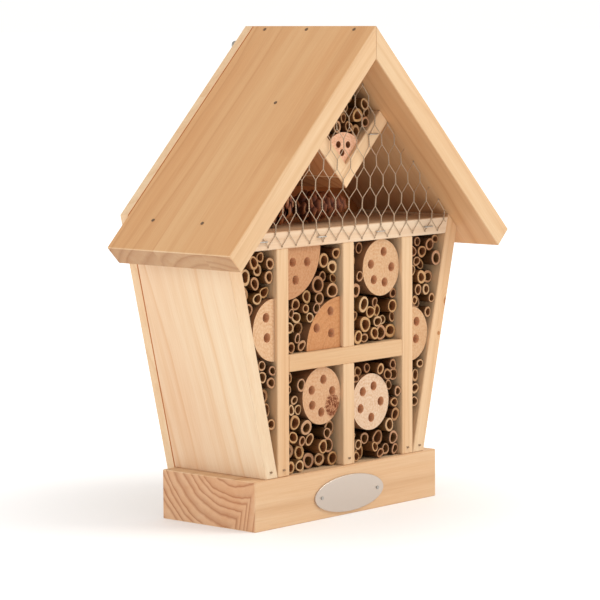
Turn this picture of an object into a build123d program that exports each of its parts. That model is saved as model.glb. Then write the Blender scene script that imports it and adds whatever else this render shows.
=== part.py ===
"""Insect hotel: a pine house on a block, filled with logs, canes and pine cones behind wire netting.

The frame has +X to the right, +Y to the rear and +Z up.  The origin is the centre of the base
block's underside.  All sizes are in millimetres.
"""
import math
import os
import random

from build123d import *

# ---- base block and frame -------------------------------------------------------------------
base_width = 180.0
base_height = 32.0
base_ledge = 11.5          # base top left bare outside each wall's foot
frame_setback = 1.0        # front edges of the boards, behind the base's front face
frame_depth = 80.0
board = 11.0               # walls, dividers, rail, attic floor and cradle
wall_lean = 13.6           # degrees outwards from upright
lower_room = 66.3          # clear height under the cross rail
upper_room = 67.7          # clear height over the cross rail
wall_over_floor = 1.91393  # attic floor to where each wall's inner face meets the roof
centre_shift = 2.0         # the middle divider stands a little right of centre
edge_ease = 0.5            # sawn edges eased with sandpaper

# ---- roof and back --------------------------------------------------------------------------
roof_pitch = 45.0
roof_board = 15.0
eave_overhang = 18.0       # along the slope, past each wall's outer face
front_overhang = 24.5      # past the base's front face
back_board = 7.5
back_lap = 22.0            # the back panel laps this far down the base block

# ---- filling --------------------------------------------------------------------------------
snug = 0.15                # logs and canes to the boards and to each other
filling_setback = 2.5      # log faces behind the boards' front edges
log_back_gap = 7.5         # logs to the back panel
cane_lane = 11.5           # room left beside a whole log
cane_band = 19.7           # band of canes between the two quarter logs
wedge_radius = 20.5
half_log_left_gap = 2.0    # half logs to the leaning walls
half_log_right_gap = 0.4
half_log_left_drop = 51.0  # half log centres below the attic floor
half_log_right_drop = 65.2
log_rail_gap = 9.2         # cane layer over the lower right log
nest_hole = 6.2            # drilled nest hole diameter
nest_end = 10.0            # wood left behind the nest holes
nest_rim = 8.0             # hole centres inside a whole log's rim
upper_right_nests = (75, -2, -70, -134, 165)    # hole places round each whole log, in degrees
lower_left_nests = (12, 80, 155, 210, 268)
lower_right_nests = (136, 72, -4, 200, -85)
quarter_top_nests = ((0.2, 0.28), (0.62, 0.3), (0.28, 0.63))     # shares of the radius
quarter_foot_nests = ((0.29, 0.73), (0.7, 0.43), (0.27, 0.3))
half_log_nests = ((0.38, 0.42), (0.34, -0.22))
wedge_nests = ((-0.24, 0.62), (0.22, 0.6), (-0.06, 0.36))
wedge_hole = 4.5
cane_sizes = (7.2, 7.9, 8.4, 9.0, 9.6, 10.3, 11.2)
cane_wall = 1.5
cane_back_gap = 2.4        # deepest cane to the back panel
cane_setbacks = (0.8, 1.6, 2.6, 3.8, 5.4, 7.6)
room_foot = 0.01           # width of a side room at its foot
large_cone = (46.0, 29.0)  # length, diameter
small_cone = (44.0, 22.5)
large_cone_place = (-48.0, 30.0, 160.0)         # x, behind the boards' fronts, heading in degrees
small_cone_place = (6.0, 30.0, -12.0)
cone_belly = 0.2           # widest place, as a share of the length behind the middle
cone_floor_gap = 0.3
cone_head_gap = 1.14365    # small cone to the cradle's corner over it

# ---- netting --------------------------------------------------------------------------------
mesh_pitch = 13.0          # between twists, across and up
twist_length = 6.5
wire = 0.8
net_edge = 1.0             # netting clear of the roof boards
net_lap = 9.0              # netting down over the attic floor's front edge
staple_crown = 9.0
staple_wire = 1.1
staple_leg = 6.0
staple_shares = (-0.79, -0.245, 0.325, 0.81)    # staple places as shares of the half width
cradle_staple = 0.7        # place along the cradle's right board, as a share

# ---- fixings, nameplate and hanger ----------------------------------------------------------
plate_width = 68.0
plate_height = 24.0
plate_thickness = 1.2
plate_edge = 0.48          # rounded front edge
plate_centre = 14.0
pin_spacing = 55.2
pin_head = 2.4
pin_head_height = 0.5
pin_grip = 8.0             # pin in the wood
nail_head = 2.4
nail_head_height = 0.2
nail_shank = 1.5
nail_length = 23.0
ridge_nail_along = 3.6     # along the slope from the ridge
ridge_nail_forward = 9.0   # before the boards' fronts
ridge_nail_middle = 31.5   # behind the boards' fronts
ridge_nail_rear = 12.0     # before the boards' backs
wall_nail_front = 13.6
wall_nail_rear = 24.0
cradle_nail_front = 17.4
toe_nail_length = 18.0
toe_nail_rise = 4.6        # toe nail heads over the base
screw_head = 5.4
screw_head_height = 0.6
screw_shank = 2.6
screw_grip = 14.0          # screw beyond the back panel
back_screw_reach = 60.0    # from the middle, into the base and the attic floor
roof_screw_reach = 45.0
wall_screw_drop = 30.0     # below the attic floor
hanger_drop = 24.5         # ridge to the hanger's hinge
strap_width = 9.6
strap_thick = 0.95
strap_length = 26.0
strap_corner = 2.88
strap_hole_drop = 8.5      # hinge to the first screw
strap_hole_pitch = 12.0
hanger_screw_head = 1.4
hanger_screw_short = 1.0   # screw ends inside the back panel's front face
ring_wire = 2.3
ring_width = 17.0
ring_height = 16.2
ring_shoulder = 1.47       # slant at each upper corner
ring_bend = 2.3
ring_lean = 15.0           # degrees the ring stands back from upright
hinge_clear = 0.08

# ---- derived places -------------------------------------------------------------------------
base_depth = frame_setback + frame_depth
base_front = -base_depth / 2
front = base_front + frame_setback
rear = front + frame_depth
slope = math.tan(math.radians(roof_pitch))
lean = math.tan(math.radians(wall_lean))
wall_across = board / math.cos(math.radians(wall_lean))
roof_across = roof_board / math.cos(math.radians(roof_pitch))
wall_foot = base_width / 2 - base_ledge
rail_bottom = base_height + lower_room
rail_top = rail_bottom + board
floor_bottom = rail_top + upper_room
floor_top = floor_bottom + board
divider_x = wall_foot - wall_across - board / 2
room_left = -divider_x + board / 2
room_mid_left = centre_shift - board / 2
room_mid_right = centre_shift + board / 2
room_right = divider_x - board / 2
log_radius = (room_right - room_mid_right - cane_lane) / 2
log_length = frame_depth - filling_setback - log_back_gap
nest_depth = log_length - nest_end
cane_length = frame_depth - max(cane_setbacks) - cane_back_gap
filling_front = front + filling_setback


def wall_outer(z):
    """Distance of a wall's outer face from the middle at height z."""
    return wall_foot + lean * (z - base_height)


def wall_inner(z):
    """Distance of a wall's inner face from the middle at height z."""
    return wall_outer(z) - wall_across


wall_top = floor_top + wall_over_floor
ridge_inside = wall_top + slope * wall_inner(wall_top)
ridge = ridge_inside + roof_across


def under_roof(foot):
    """Corner (x, z) where a leaning face that starts at foot on the base meets the roof's underside."""
    x = (foot + lean * (ridge_inside - base_height)) / (1 + lean * slope)
    return x, ridge_inside - slope * x


def across(y):
    """Upright sketch plane at depth y, seen from the front: local x is X and local y is Z."""
    return Plane(origin=(0, y, 0), x_dir=(1, 0, 0), z_dir=(0, -1, 0))


def flip(points, side):
    """The same outline on the right (side 1) or the left (side -1)."""
    return [(side * x, z) for x, z in points]


def save(part, label):
    """Label a finished piece and write its STEP file."""
    part.label = label
    export_step(part, f"parts/{label}.step")


def upright_board(points, y_front, depth, ease=edge_ease):
    """A board whose outline is drawn from the front, with eased edges."""
    with BuildPart() as piece:
        with BuildSketch(across(y_front)):
            with BuildLine():
                Polyline(*points, close=True)
            make_face()
        extrude(amount=-depth)
        chamfer(piece.edges(), ease)
    return piece.part


def spike(origin, into, head, head_height, shank, length):
    """A nail or screw driven from origin along the direction into, its head standing out."""
    seat = Plane(origin=origin, z_dir=into)
    with BuildPart() as piece:
        with BuildSketch(seat):
            Circle(shank / 2)
        extrude(amount=length)
        with BuildSketch(seat.offset(-head_height)):
            Circle(head / 2)
        extrude(amount=head_height)
    return piece.part


def save_group(pieces, label):
    """Put identical fasteners into one node as separate solids."""
    with BuildPart() as group:
        add(pieces)
    save(group.part, label)


os.makedirs("parts", exist_ok=True)

# ---- base block -----------------------------------------------------------------------------
with BuildPart() as base_block:
    with Locations((0, 0, base_height / 2)):
        Box(base_width, base_depth, base_height)
    chamfer(base_block.edges(), edge_ease)
save(base_block.part, "base_block")

# ---- side walls -----------------------------------------------------------------------------
wall_top_outer = under_roof(wall_foot)
wall_top_inner = under_roof(wall_foot - wall_across)
wall_outline = [
    (wall_foot, base_height),
    wall_top_outer,
    wall_top_inner,
    (wall_foot - wall_across, base_height),
]
for name, side in (("left", -1), ("right", 1)):
    save(upright_board(flip(wall_outline, side), front, frame_depth), f"side_wall_{name}")

# ---- roof -----------------------------------------------------------------------------------
rise = Vector(math.cos(math.radians(roof_pitch)), math.sin(math.radians(roof_pitch)))
eave_low = (
    wall_top_outer[0] + eave_overhang * rise.X,
    wall_top_outer[1] - eave_overhang * rise.Y,
)
eave_high = (eave_low[0] + roof_board * rise.Y, eave_low[1] + roof_board * rise.X)
roof_outline = [(0, ridge), eave_high, eave_low, (0, ridge_inside)]
roof_front = base_front - front_overhang
for name, side in (("left", -1), ("right", 1)):
    roof_piece = upright_board(flip(roof_outline, side), roof_front, rear - roof_front)
    save(roof_piece, f"roof_panel_{name}")

# ---- back panel: follows the roof's top and the walls' outer faces ---------------------------
gable_x = (wall_foot + lean * (ridge - base_height)) / (1 + lean * slope)
panel_foot = base_height - back_lap
back_outline = [
    (0, ridge),
    (gable_x, ridge - slope * gable_x),
    (wall_outer(panel_foot), panel_foot),
    (-wall_outer(panel_foot), panel_foot),
    (-gable_x, ridge - slope * gable_x),
]
save(upright_board(back_outline, rear, back_board), "back_panel")
back_face = rear + back_board

# ---- attic floor, dividers and rail ---------------------------------------------------------
floor_outline = [
    (-wall_inner(floor_bottom), floor_bottom),
    (wall_inner(floor_bottom), floor_bottom),
    (wall_inner(floor_top), floor_top),
    (-wall_inner(floor_top), floor_top),
]
save(upright_board(floor_outline, front, frame_depth), "attic_floor")


def post(x, z_low, z_high):
    """Outline of a post of board thickness centred on x."""
    half = board / 2
    return [(x - half, z_low), (x + half, z_low), (x + half, z_high), (x - half, z_high)]


posts = {
    "divider_left": post(-divider_x, base_height, floor_bottom),
    "divider_right": post(divider_x, base_height, floor_bottom),
    "divider_centre_lower": post(centre_shift, base_height, rail_bottom),
    "divider_centre_upper": post(centre_shift, rail_top, floor_bottom),
    "cross_rail": [
        (room_left, rail_bottom),
        (room_right, rail_bottom),
        (room_right, rail_top),
        (room_left, rail_top),
    ],
}
for label, outline in posts.items():
    save(upright_board(outline, front, frame_depth), label)

# ---- cradle: two boards that make a diamond with the roof -----------------------------------
cradle_outside = floor_top + cone_floor_gap + small_cone[1] + cone_head_gap
cradle_inside = cradle_outside + board / math.cos(math.radians(roof_pitch))
cradle_mid = (cradle_inside + cradle_outside) / 2
butt = (cradle_inside - cradle_outside) / (2 * slope)
inner_x = (ridge_inside - cradle_inside) / (2 * slope)
outer_x = (ridge_inside - cradle_outside) / (2 * slope)
cradle_right = [
    (0, cradle_outside),
    (outer_x, ridge_inside - slope * outer_x),
    (inner_x, ridge_inside - slope * inner_x),
    (-butt, cradle_mid),
]
cradle_left = [
    (-butt, cradle_mid),
    (0, cradle_inside),
    (-inner_x, ridge_inside - slope * inner_x),
    (-outer_x, ridge_inside - slope * outer_x),
]
save(upright_board(cradle_right, front, frame_depth), "cradle_board_right")
save(upright_board(cradle_left, front, frame_depth), "cradle_board_left")

# ---- logs -----------------------------------------------------------------------------------


def ring_holes(centre, radius, angles):
    """Hole centres on a circle, one for each angle in degrees."""
    return [
        (
            centre[0] + radius * math.cos(math.radians(a)),
            centre[1] + radius * math.sin(math.radians(a)),
        )
        for a in angles
    ]


def log(centre, radius, start, sweep, holes, hole_size, label):
    """A log cut to a whole round, a half or a quarter, drilled from the front and saved."""
    with BuildPart() as piece:
        with BuildSketch(across(filling_front)):
            if sweep == 360:
                with Locations(centre):
                    Circle(radius)
            else:
                with BuildLine():
                    round_side = CenterArc(centre, radius, start, sweep)
                    Line(round_side @ 1, centre)
                    Line(centre, round_side @ 0)
                make_face()
        extrude(amount=-log_length)
        with BuildSketch(across(filling_front)):
            with Locations(*holes):
                Circle(hole_size / 2)
        extrude(amount=-nest_depth, mode=Mode.SUBTRACT)
    save(piece.part, label)


nest_ring = log_radius - nest_rim
left_room_width = room_mid_left - room_left
quarter_radius = (math.hypot(left_room_width, upper_room) - cane_band) / 2
quarter_top = (room_left + snug, floor_bottom - snug)
quarter_top_holes = [
    (quarter_top[0] + across_share * quarter_radius, quarter_top[1] - down_share * quarter_radius)
    for across_share, down_share in quarter_top_nests
]
log(quarter_top, quarter_radius, 270, 90, quarter_top_holes, nest_hole, "log_quarter_top")

quarter_foot = (room_mid_left - snug, rail_top + snug)
quarter_foot_holes = [
    (quarter_foot[0] - across_share * quarter_radius, quarter_foot[1] + up_share * quarter_radius)
    for across_share, up_share in quarter_foot_nests
]
log(quarter_foot, quarter_radius, 90, 90, quarter_foot_holes, nest_hole, "log_quarter_foot")

upper_log = (room_right - log_radius - snug, floor_bottom - log_radius - snug)
upper_log_holes = ring_holes(upper_log, nest_ring, upper_right_nests)
log(upper_log, log_radius, 0, 360, upper_log_holes, nest_hole, "log_upper_right")

lower_left_log = (room_mid_left - log_radius - snug, rail_bottom - log_radius - snug)
lower_left_holes = ring_holes(lower_left_log, nest_ring, lower_left_nests)
log(lower_left_log, log_radius, 0, 360, lower_left_holes, nest_hole, "log_lower_left")

lower_right_log = (room_mid_right + log_radius + snug, rail_bottom - log_rail_gap - log_radius)
lower_right_holes = ring_holes(lower_right_log, nest_ring, lower_right_nests)
log(lower_right_log, log_radius, 0, 360, lower_right_holes, nest_hole, "log_lower_right")


def half_log(side, drop, gap, label):
    """A half log, flat against the outer face of a divider, with two holes; returns centre and radius."""
    z = floor_bottom - drop
    divider_face = divider_x + board / 2 + snug
    to_wall = (wall_inner(z) - divider_face) * math.cos(math.radians(wall_lean))
    radius = to_wall - gap
    centre = (side * divider_face, z)
    holes = [
        (side * (divider_face + out_share * radius), z + up_share * radius)
        for out_share, up_share in half_log_nests
    ]
    log(centre, radius, 270 if side > 0 else 90, 180, holes, nest_hole, label)
    return centre, radius


half_left = half_log(-1, half_log_left_drop, half_log_left_gap, "log_half_left")
half_right = half_log(1, half_log_right_drop, half_log_right_gap, "log_half_right")

wedge_tip = (0, cradle_inside + snug / math.cos(math.radians(roof_pitch)))
wedge_holes = [
    (across_share * wedge_radius, wedge_tip[1] + up_share * wedge_radius)
    for across_share, up_share in wedge_nests
]
log(
    wedge_tip,
    wedge_radius,
    roof_pitch,
    180 - 2 * roof_pitch,
    wedge_holes,
    wedge_hole,
    "log_wedge_gable",
)

# ---- canes: stacked from the bottom of each room upwards ------------------------------------


def side_between(p, q):
    """Wall through p and q as (nx, nz, offset), with the room on its left."""
    length = math.hypot(q[0] - p[0], q[1] - p[1])
    nx = -(q[1] - p[1]) / length
    nz = (q[0] - p[0]) / length
    return nx, nz, nx * p[0] + nz * p[1]


def wall_wall(a, b, reach):
    """Corner between two walls."""
    turn = a[0] * b[1] - a[1] * b[0]
    if abs(turn) < 1e-9:
        return []
    da = a[2] + reach
    db = b[2] + reach
    return [((da * b[1] - db * a[1]) / turn, (a[0] * db - b[0] * da) / turn)]


def wall_round(wall, disc, reach):
    """Places against a wall and a round."""
    away = disc[0] * wall[0] + disc[1] * wall[1] - wall[2] - reach
    radius = disc[2] + reach
    if abs(away) > radius:
        return []
    foot = (disc[0] - away * wall[0], disc[1] - away * wall[1])
    along = math.sqrt(radius * radius - away * away)
    return [(foot[0] - s * along * wall[1], foot[1] + s * along * wall[0]) for s in (-1, 1)]


def round_round(a, b, reach):
    """Places against two rounds."""
    ra = a[2] + reach
    rb = b[2] + reach
    gap = math.hypot(b[0] - a[0], b[1] - a[1])
    if gap > ra + rb or gap < abs(ra - rb) or gap < 1e-9:
        return []
    along = (gap * gap + ra * ra - rb * rb) / (2 * gap)
    off = math.sqrt(max(0.0, ra * ra - along * along))
    ux = (b[0] - a[0]) / gap
    uz = (b[1] - a[1]) / gap
    return [(a[0] + along * ux - s * off * uz, a[1] + along * uz + s * off * ux) for s in (-1, 1)]


def free_spots(radius, walls, rounds):
    """Every place where a cane of this radius touches two things and overlaps none."""
    reach = radius + snug
    spots = []
    for i, wall in enumerate(walls):
        for other in walls[i + 1:]:
            spots += wall_wall(wall, other, reach)
        for disc in rounds:
            spots += wall_round(wall, disc, reach)
    for i, disc in enumerate(rounds):
        for other in rounds[i + 1:]:
            spots += round_round(disc, other, reach)
    slack = 1e-6
    return [
        (x, z)
        for x, z in spots
        if all(w[0] * x + w[1] * z - w[2] > reach - slack for w in walls)
        and all(math.hypot(x - d[0], z - d[1]) > d[2] + reach - slack for d in rounds)
    ]


def stack(corners, logs, seed):
    """Canes (x, z, radius) that fill a room around its logs, each laid in the lowest place left."""
    draw = random.Random(seed)
    walls = [side_between(p, q) for p, q in zip(corners, corners[1:] + corners[:1])]
    rounds = [(*centre, radius) for centre, radius in logs]
    canes = []
    sizes = list(cane_sizes)
    while sizes:
        size = draw.choice(sizes)
        spots = free_spots(size / 2, walls, rounds)
        if not spots:
            sizes = [s for s in sizes if s < size]
            continue
        x, z = min(spots, key=lambda spot: spot[1])
        rounds.append((x, z, size / 2))
        canes.append((x, z, size / 2))
    return canes


def save_canes(canes, seed, label):
    """Cut and save one tube for each cane, its front end set back by a varying amount."""
    draw = random.Random(seed)
    with BuildPart() as bundle:
        for x, z, radius in canes:
            setback = draw.choice(cane_setbacks)
            with BuildSketch(across(front + setback)):
                with Locations((x, z)):
                    Circle(radius)
                    Circle(radius - cane_wall, mode=Mode.SUBTRACT)
            extrude(amount=-cane_length)
    save(bundle.part, label)


def room(left, right, low, high):
    """Corners of an upright room, anticlockwise from the front."""
    return [(left, low), (right, low), (right, high), (left, high)]


def side_room(side):
    """Corners of the wedge between a divider and a leaning wall, anticlockwise from the front."""
    inside = divider_x + board / 2
    points = [
        (inside, base_height),
        (wall_inner(base_height) + room_foot, base_height),
        (wall_inner(floor_bottom), floor_bottom),
        (inside, floor_bottom),
    ]
    return points if side > 0 else flip(points, -1)[::-1]


diamond = [
    (0, cradle_inside),
    (inner_x, ridge_inside - slope * inner_x),
    (0, ridge_inside),
    (-inner_x, ridge_inside - slope * inner_x),
]
bundles = {
    "canes_left_side": (side_room(-1), [half_left]),
    "canes_upper_left": (
        room(room_left, room_mid_left, rail_top, floor_bottom),
        [(quarter_top, quarter_radius), (quarter_foot, quarter_radius)],
    ),
    "canes_lower_left": (
        room(room_left, room_mid_left, base_height, rail_bottom),
        [(lower_left_log, log_radius)],
    ),
    "canes_upper_right": (
        room(room_mid_right, room_right, rail_top, floor_bottom),
        [(upper_log, log_radius)],
    ),
    "canes_lower_right": (
        room(room_mid_right, room_right, base_height, rail_bottom),
        [(lower_right_log, log_radius)],
    ),
    "canes_right_side": (side_room(1), [half_right]),
    "canes_gable": (diamond, [(wedge_tip, wedge_radius)]),
}
for seed, (label, (corners, logs)) in enumerate(bundles.items(), start=3):
    stacked = stack(corners, logs, seed)
    save_canes(stacked, seed, label)
    print(label, len(stacked), "canes")

# ---- pine cones -----------------------------------------------------------------------------


def cone(size, place, label):
    """A pine cone's outer shape, lying on the attic floor with its tip along its heading."""
    length, diameter = size
    x, setback, heading = place
    half = diameter / 2
    axis_plane = Plane(
        origin=(x, front + setback, floor_top + cone_floor_gap + half),
        x_dir=(math.cos(math.radians(heading)), math.sin(math.radians(heading)), 0),
        z_dir=(0, 0, 1),
    )
    with BuildPart() as piece:
        with BuildSketch(axis_plane):
            with BuildLine():
                Spline(
                    (-length / 2, 0),
                    (-cone_belly * length, half),
                    (length / 2, 0),
                    tangents=[(0, 1), (1, -0.6)],
                )
                Line((length / 2, 0), (-length / 2, 0))
            make_face()
        revolve(axis=Axis(axis_plane.origin, axis_plane.x_dir))
    save(piece.part, label)


cone(large_cone, large_cone_place, "pine_cone_large")
cone(small_cone, small_cone_place, "pine_cone_small")

# ---- netting --------------------------------------------------------------------------------
net_low = floor_top - net_lap
net_half_width = wall_inner(floor_bottom)


def in_net(x, z):
    """True where the netting may reach."""
    under = ridge_inside - slope * abs(x) - net_edge / math.cos(math.radians(roof_pitch))
    return net_low <= z <= under and abs(x) < net_half_width


def mesh_cell(x, z, reach):
    """Corners of the six-sided mesh centred on (x, z), grown outwards by reach."""
    half = mesh_pitch / 2 + reach
    shoulder = twist_length / 2
    peak = mesh_pitch - shoulder + reach
    return [
        (x + half, z + shoulder),
        (x, z + peak),
        (x - half, z + shoulder),
        (x - half, z - shoulder),
        (x, z - peak),
        (x + half, z - shoulder),
    ]


mesh_rows = int((ridge_inside - net_low) / mesh_pitch)
mesh_columns = int(net_half_width / mesh_pitch) + 1
cells = []
for row in range(mesh_rows):
    z = net_low + mesh_pitch - twist_length / 2 + wire + row * mesh_pitch
    shift = mesh_pitch / 2 * (row % 2) + centre_shift
    for column in range(-mesh_columns, mesh_columns + 1):
        x = column * mesh_pitch + shift
        if all(in_net(*corner) for corner in mesh_cell(x, z, wire / 2)):
            cells.append((x, z))
with BuildPart() as front_netting:
    with BuildSketch(across(front)):
        with Locations(*cells):
            Polygon(*mesh_cell(0, 0, wire / 2))
            Polygon(*mesh_cell(0, 0, -wire / 2), mode=Mode.SUBTRACT)
    extrude(amount=wire)
save(front_netting.part, "front_netting")
print("meshes", len(cells))

# ---- staples --------------------------------------------------------------------------------


def staple(x, z):
    """A staple over the netting: a level crown and two legs that reach through it into the board."""
    crown_y = front - wire - staple_wire / 2
    leg_y = crown_y + (staple_wire + staple_leg) / 2
    reach = (staple_crown - staple_wire) / 2
    with BuildPart() as piece:
        with Locations((x, crown_y, z)):
            Box(staple_crown, staple_wire, staple_wire)
        with Locations((x - reach, leg_y, z), (x + reach, leg_y, z)):
            Box(staple_wire, staple_leg, staple_wire)
    return piece.part


staple_row = floor_bottom + board / 2
staples = [staple(share * net_half_width, staple_row) for share in staple_shares]
on_cradle = (inner_x + outer_x) / 2 * cradle_staple
staples.append(staple(on_cradle, (cradle_inside + cradle_outside) / 2 + slope * on_cradle))
save_group(staples, "netting_staples")

# ---- nameplate ------------------------------------------------------------------------------
with BuildPart() as nameplate:
    with BuildSketch(across(base_front)):
        with Locations((0, plate_centre)):
            Ellipse(plate_width / 2, plate_height / 2)
    extrude(amount=plate_thickness)
    fillet(nameplate.faces().sort_by(Axis.Y)[0].edges(), plate_edge)
save(nameplate.part, "nameplate")

pins = []
for end in (-1, 1):
    seat = (end * pin_spacing / 2, base_front - plate_thickness, plate_centre)
    pins.append(
        spike(seat, (0, 1, 0), pin_head, pin_head_height, nail_shank, plate_thickness + pin_grip)
    )
save_group(pins, "nameplate_pins")

# ---- nails ----------------------------------------------------------------------------------


def on_roof(side, along, y):
    """Point on a roof panel's top face, along the slope from the ridge, and the way into the wood."""
    point = (side * along * rise.X, y, ridge - along * rise.Y)
    return point, (-side * rise.Y, 0, -rise.X)


wall_nail_along = (wall_top_outer[0] + wall_top_inner[0]) / 2 / rise.X + roof_board * slope
cradle_nail_along = (inner_x + outer_x) / 2 / rise.X + roof_board * slope
roof_seats = [
    (wall_nail_along, front + wall_nail_front),
    (wall_nail_along, rear - wall_nail_rear),
    (cradle_nail_along, front + cradle_nail_front),
]
roof_nails = [
    spike(*on_roof(side, *seat), nail_head, nail_head_height, nail_shank, nail_length)
    for side in (-1, 1)
    for seat in roof_seats
]
save_group(roof_nails, "roof_nails")

ridge_nails = [
    spike(*on_roof(-1, ridge_nail_along, y), nail_head, nail_head_height, nail_shank, nail_length)
    for y in (front - ridge_nail_forward, front + ridge_nail_middle, rear - ridge_nail_rear)
]
save_group(ridge_nails, "ridge_nails")

toe_drop = Vector(0, 1, -1).normalized()
foot_height = base_height + toe_nail_rise
wall_mid_foot = wall_outer(foot_height) - wall_across / 2
toe_seats = [(x, front, foot_height) for x in (-wall_mid_foot, -divider_x, centre_shift)]
toe_seats += [(x, front, foot_height) for x in (divider_x, wall_mid_foot)]
toe_nails = [
    spike(seat, toe_drop, nail_head, nail_head_height, nail_shank, toe_nail_length)
    for seat in toe_seats
]
save_group(toe_nails, "toe_nails")

low_row = panel_foot + back_lap / 2
high_row = floor_bottom - wall_screw_drop
wall_at_high = wall_outer(high_row) - wall_across / 2
roof_mid = ridge - roof_across / 2
back_seats = []
for end in (-1, 1):
    back_seats.append((end * back_screw_reach, low_row))
    back_seats.append((end * wall_at_high, high_row))
    back_seats.append((end * roof_screw_reach, roof_mid - slope * roof_screw_reach))
    back_seats.append((end * back_screw_reach, floor_bottom + board / 2))
back_screw_length = back_board + screw_grip
back_screws = [
    spike(
        (x, back_face, z),
        (0, -1, 0),
        screw_head,
        screw_head_height,
        screw_shank,
        back_screw_length,
    )
    for x, z in back_seats
]
save_group(back_screws, "back_screws")

# ---- hanger ---------------------------------------------------------------------------------
hinge_z = ridge - hanger_drop
barrel_inside = ring_wire / 2 + hinge_clear
barrel_outside = barrel_inside + strap_thick
hinge_y = back_face + barrel_outside
strap_holes = [hinge_z - strap_hole_drop - i * strap_hole_pitch for i in (0, 1)]
with BuildPart() as hanger_strap:
    with BuildSketch(Plane(origin=(-strap_width / 2, hinge_y, hinge_z), z_dir=(1, 0, 0))):
        Circle(barrel_outside)
    extrude(amount=strap_width)
    with Locations((0, back_face + strap_thick / 2, hinge_z - strap_length / 2)):
        Box(strap_width, strap_thick, strap_length)
    strap_ends = hanger_strap.edges().filter_by(Axis.Y).sort_by(Axis.Z)[:2]
    fillet(strap_ends, strap_corner)
    with BuildSketch(Plane(origin=(-strap_width / 2, hinge_y, hinge_z), z_dir=(1, 0, 0))):
        Circle(barrel_inside)
    extrude(amount=strap_width, mode=Mode.SUBTRACT)
    with BuildSketch(across(back_face)):
        with Locations(*[(0, z) for z in strap_holes]):
            Circle(screw_shank / 2)
    extrude(amount=-strap_thick, mode=Mode.SUBTRACT)
save(hanger_strap.part, "hanger_strap")

hanger_screws = [
    spike(
        (0, back_face + strap_thick, z),
        (0, -1, 0),
        screw_head,
        hanger_screw_head,
        screw_shank,
        strap_thick + back_board - hanger_screw_short,
    )
    for z in strap_holes
]
save_group(hanger_screws, "hanger_screws")

ring_up = (0, math.sin(math.radians(ring_lean)), math.cos(math.radians(ring_lean)))
ring_plane = Plane(
    origin=(0, hinge_y, hinge_z),
    x_dir=(1, 0, 0),
    z_dir=(0, -ring_up[2], ring_up[1]),
)
ring_half = (ring_width - ring_wire) / 2
ring_reach = ring_height - ring_wire
with BuildPart() as hanger_ring:
    with BuildLine(ring_plane) as ring_path:
        FilletPolyline(
            (-ring_half, 0),
            (ring_half, 0),
            (ring_half, ring_reach - ring_half),
            (ring_half - ring_shoulder, ring_reach),
            (ring_shoulder - ring_half, ring_reach),
            (-ring_half, ring_reach - ring_half),
            close=True,
            radius=ring_bend,
        )
    with BuildSketch(ring_path.line ^ 0.02):
        Circle(ring_wire / 2)
    sweep()
save(hanger_ring.part, "hanger_ring")

print("height", round(ridge, 1), "width", round(2 * eave_high[0], 1), "log radius", round(log_radius, 2))
print("hinge", (0, round(hinge_y, 3), round(hinge_z, 3)))
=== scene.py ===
"""Insect hotel: the visible surfaces and finishes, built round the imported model.

The frame has +X to the right, +Y to the rear and +Z up.  Blender lengths are metres; a name that
ends in _mm is in millimetres, and so are the points that the shape functions work out.
"""
import logging
import math
from dataclasses import dataclass, field
from enum import Enum

import bpy
import numpy as np
from mathutils import Matrix, Vector


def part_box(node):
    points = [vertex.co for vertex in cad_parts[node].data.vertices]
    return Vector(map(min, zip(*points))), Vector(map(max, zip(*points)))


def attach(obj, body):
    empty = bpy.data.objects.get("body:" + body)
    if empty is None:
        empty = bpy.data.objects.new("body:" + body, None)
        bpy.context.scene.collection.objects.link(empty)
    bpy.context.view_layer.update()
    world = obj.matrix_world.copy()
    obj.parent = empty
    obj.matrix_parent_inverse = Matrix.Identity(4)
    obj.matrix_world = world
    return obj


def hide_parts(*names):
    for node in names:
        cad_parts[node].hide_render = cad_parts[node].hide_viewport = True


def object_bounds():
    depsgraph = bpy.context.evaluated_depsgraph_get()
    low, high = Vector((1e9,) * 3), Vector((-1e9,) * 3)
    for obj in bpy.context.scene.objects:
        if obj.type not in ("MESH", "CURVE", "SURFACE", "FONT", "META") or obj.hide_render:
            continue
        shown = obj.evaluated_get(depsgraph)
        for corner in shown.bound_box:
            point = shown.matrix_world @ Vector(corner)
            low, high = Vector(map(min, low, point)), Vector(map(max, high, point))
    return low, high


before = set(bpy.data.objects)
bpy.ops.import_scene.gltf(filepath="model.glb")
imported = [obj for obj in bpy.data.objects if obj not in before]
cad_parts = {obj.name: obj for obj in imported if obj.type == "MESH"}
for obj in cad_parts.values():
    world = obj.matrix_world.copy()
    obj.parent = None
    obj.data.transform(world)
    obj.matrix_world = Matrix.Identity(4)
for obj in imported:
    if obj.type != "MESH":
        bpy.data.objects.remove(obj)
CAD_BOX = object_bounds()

LOG = logging.getLogger("insect_hotel")
MM = 0.001
HOUSE = "house"
GOLDEN_TURN = math.pi * (3.0 - math.sqrt(5.0))
PER_MM = (1.0 / MM,) * 3

Point = tuple[float, float, float]
Profile = tuple[tuple[float, float | str], ...]
Codes = tuple[str, ...]
Tree = bpy.types.NodeTree
Socket = bpy.types.NodeSocket
Feed = bpy.types.Node | bpy.types.NodeSocket | float | tuple

# Settings that many nodes share.
BLEND = {"data_type": "RGBA"}
STAIN = {"data_type": "RGBA", "blend_type": "MULTIPLY"}
TIMES = {"operation": "MULTIPLY"}
TIMES_PLUS = {"operation": "MULTIPLY_ADD"}
DOT = {"operation": "DOT_PRODUCT"}
SMOOTH = {"interpolation_type": "SMOOTHSTEP"}
IN_LINE = {"noise_dimensions": "1D"}


class Zone(Enum):
    """Parts of a log's or a cane's surface that take their own colour, as values of one attribute."""

    FACE = 0.0
    SIDE = 1.0
    HOLE = 2.0


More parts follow.
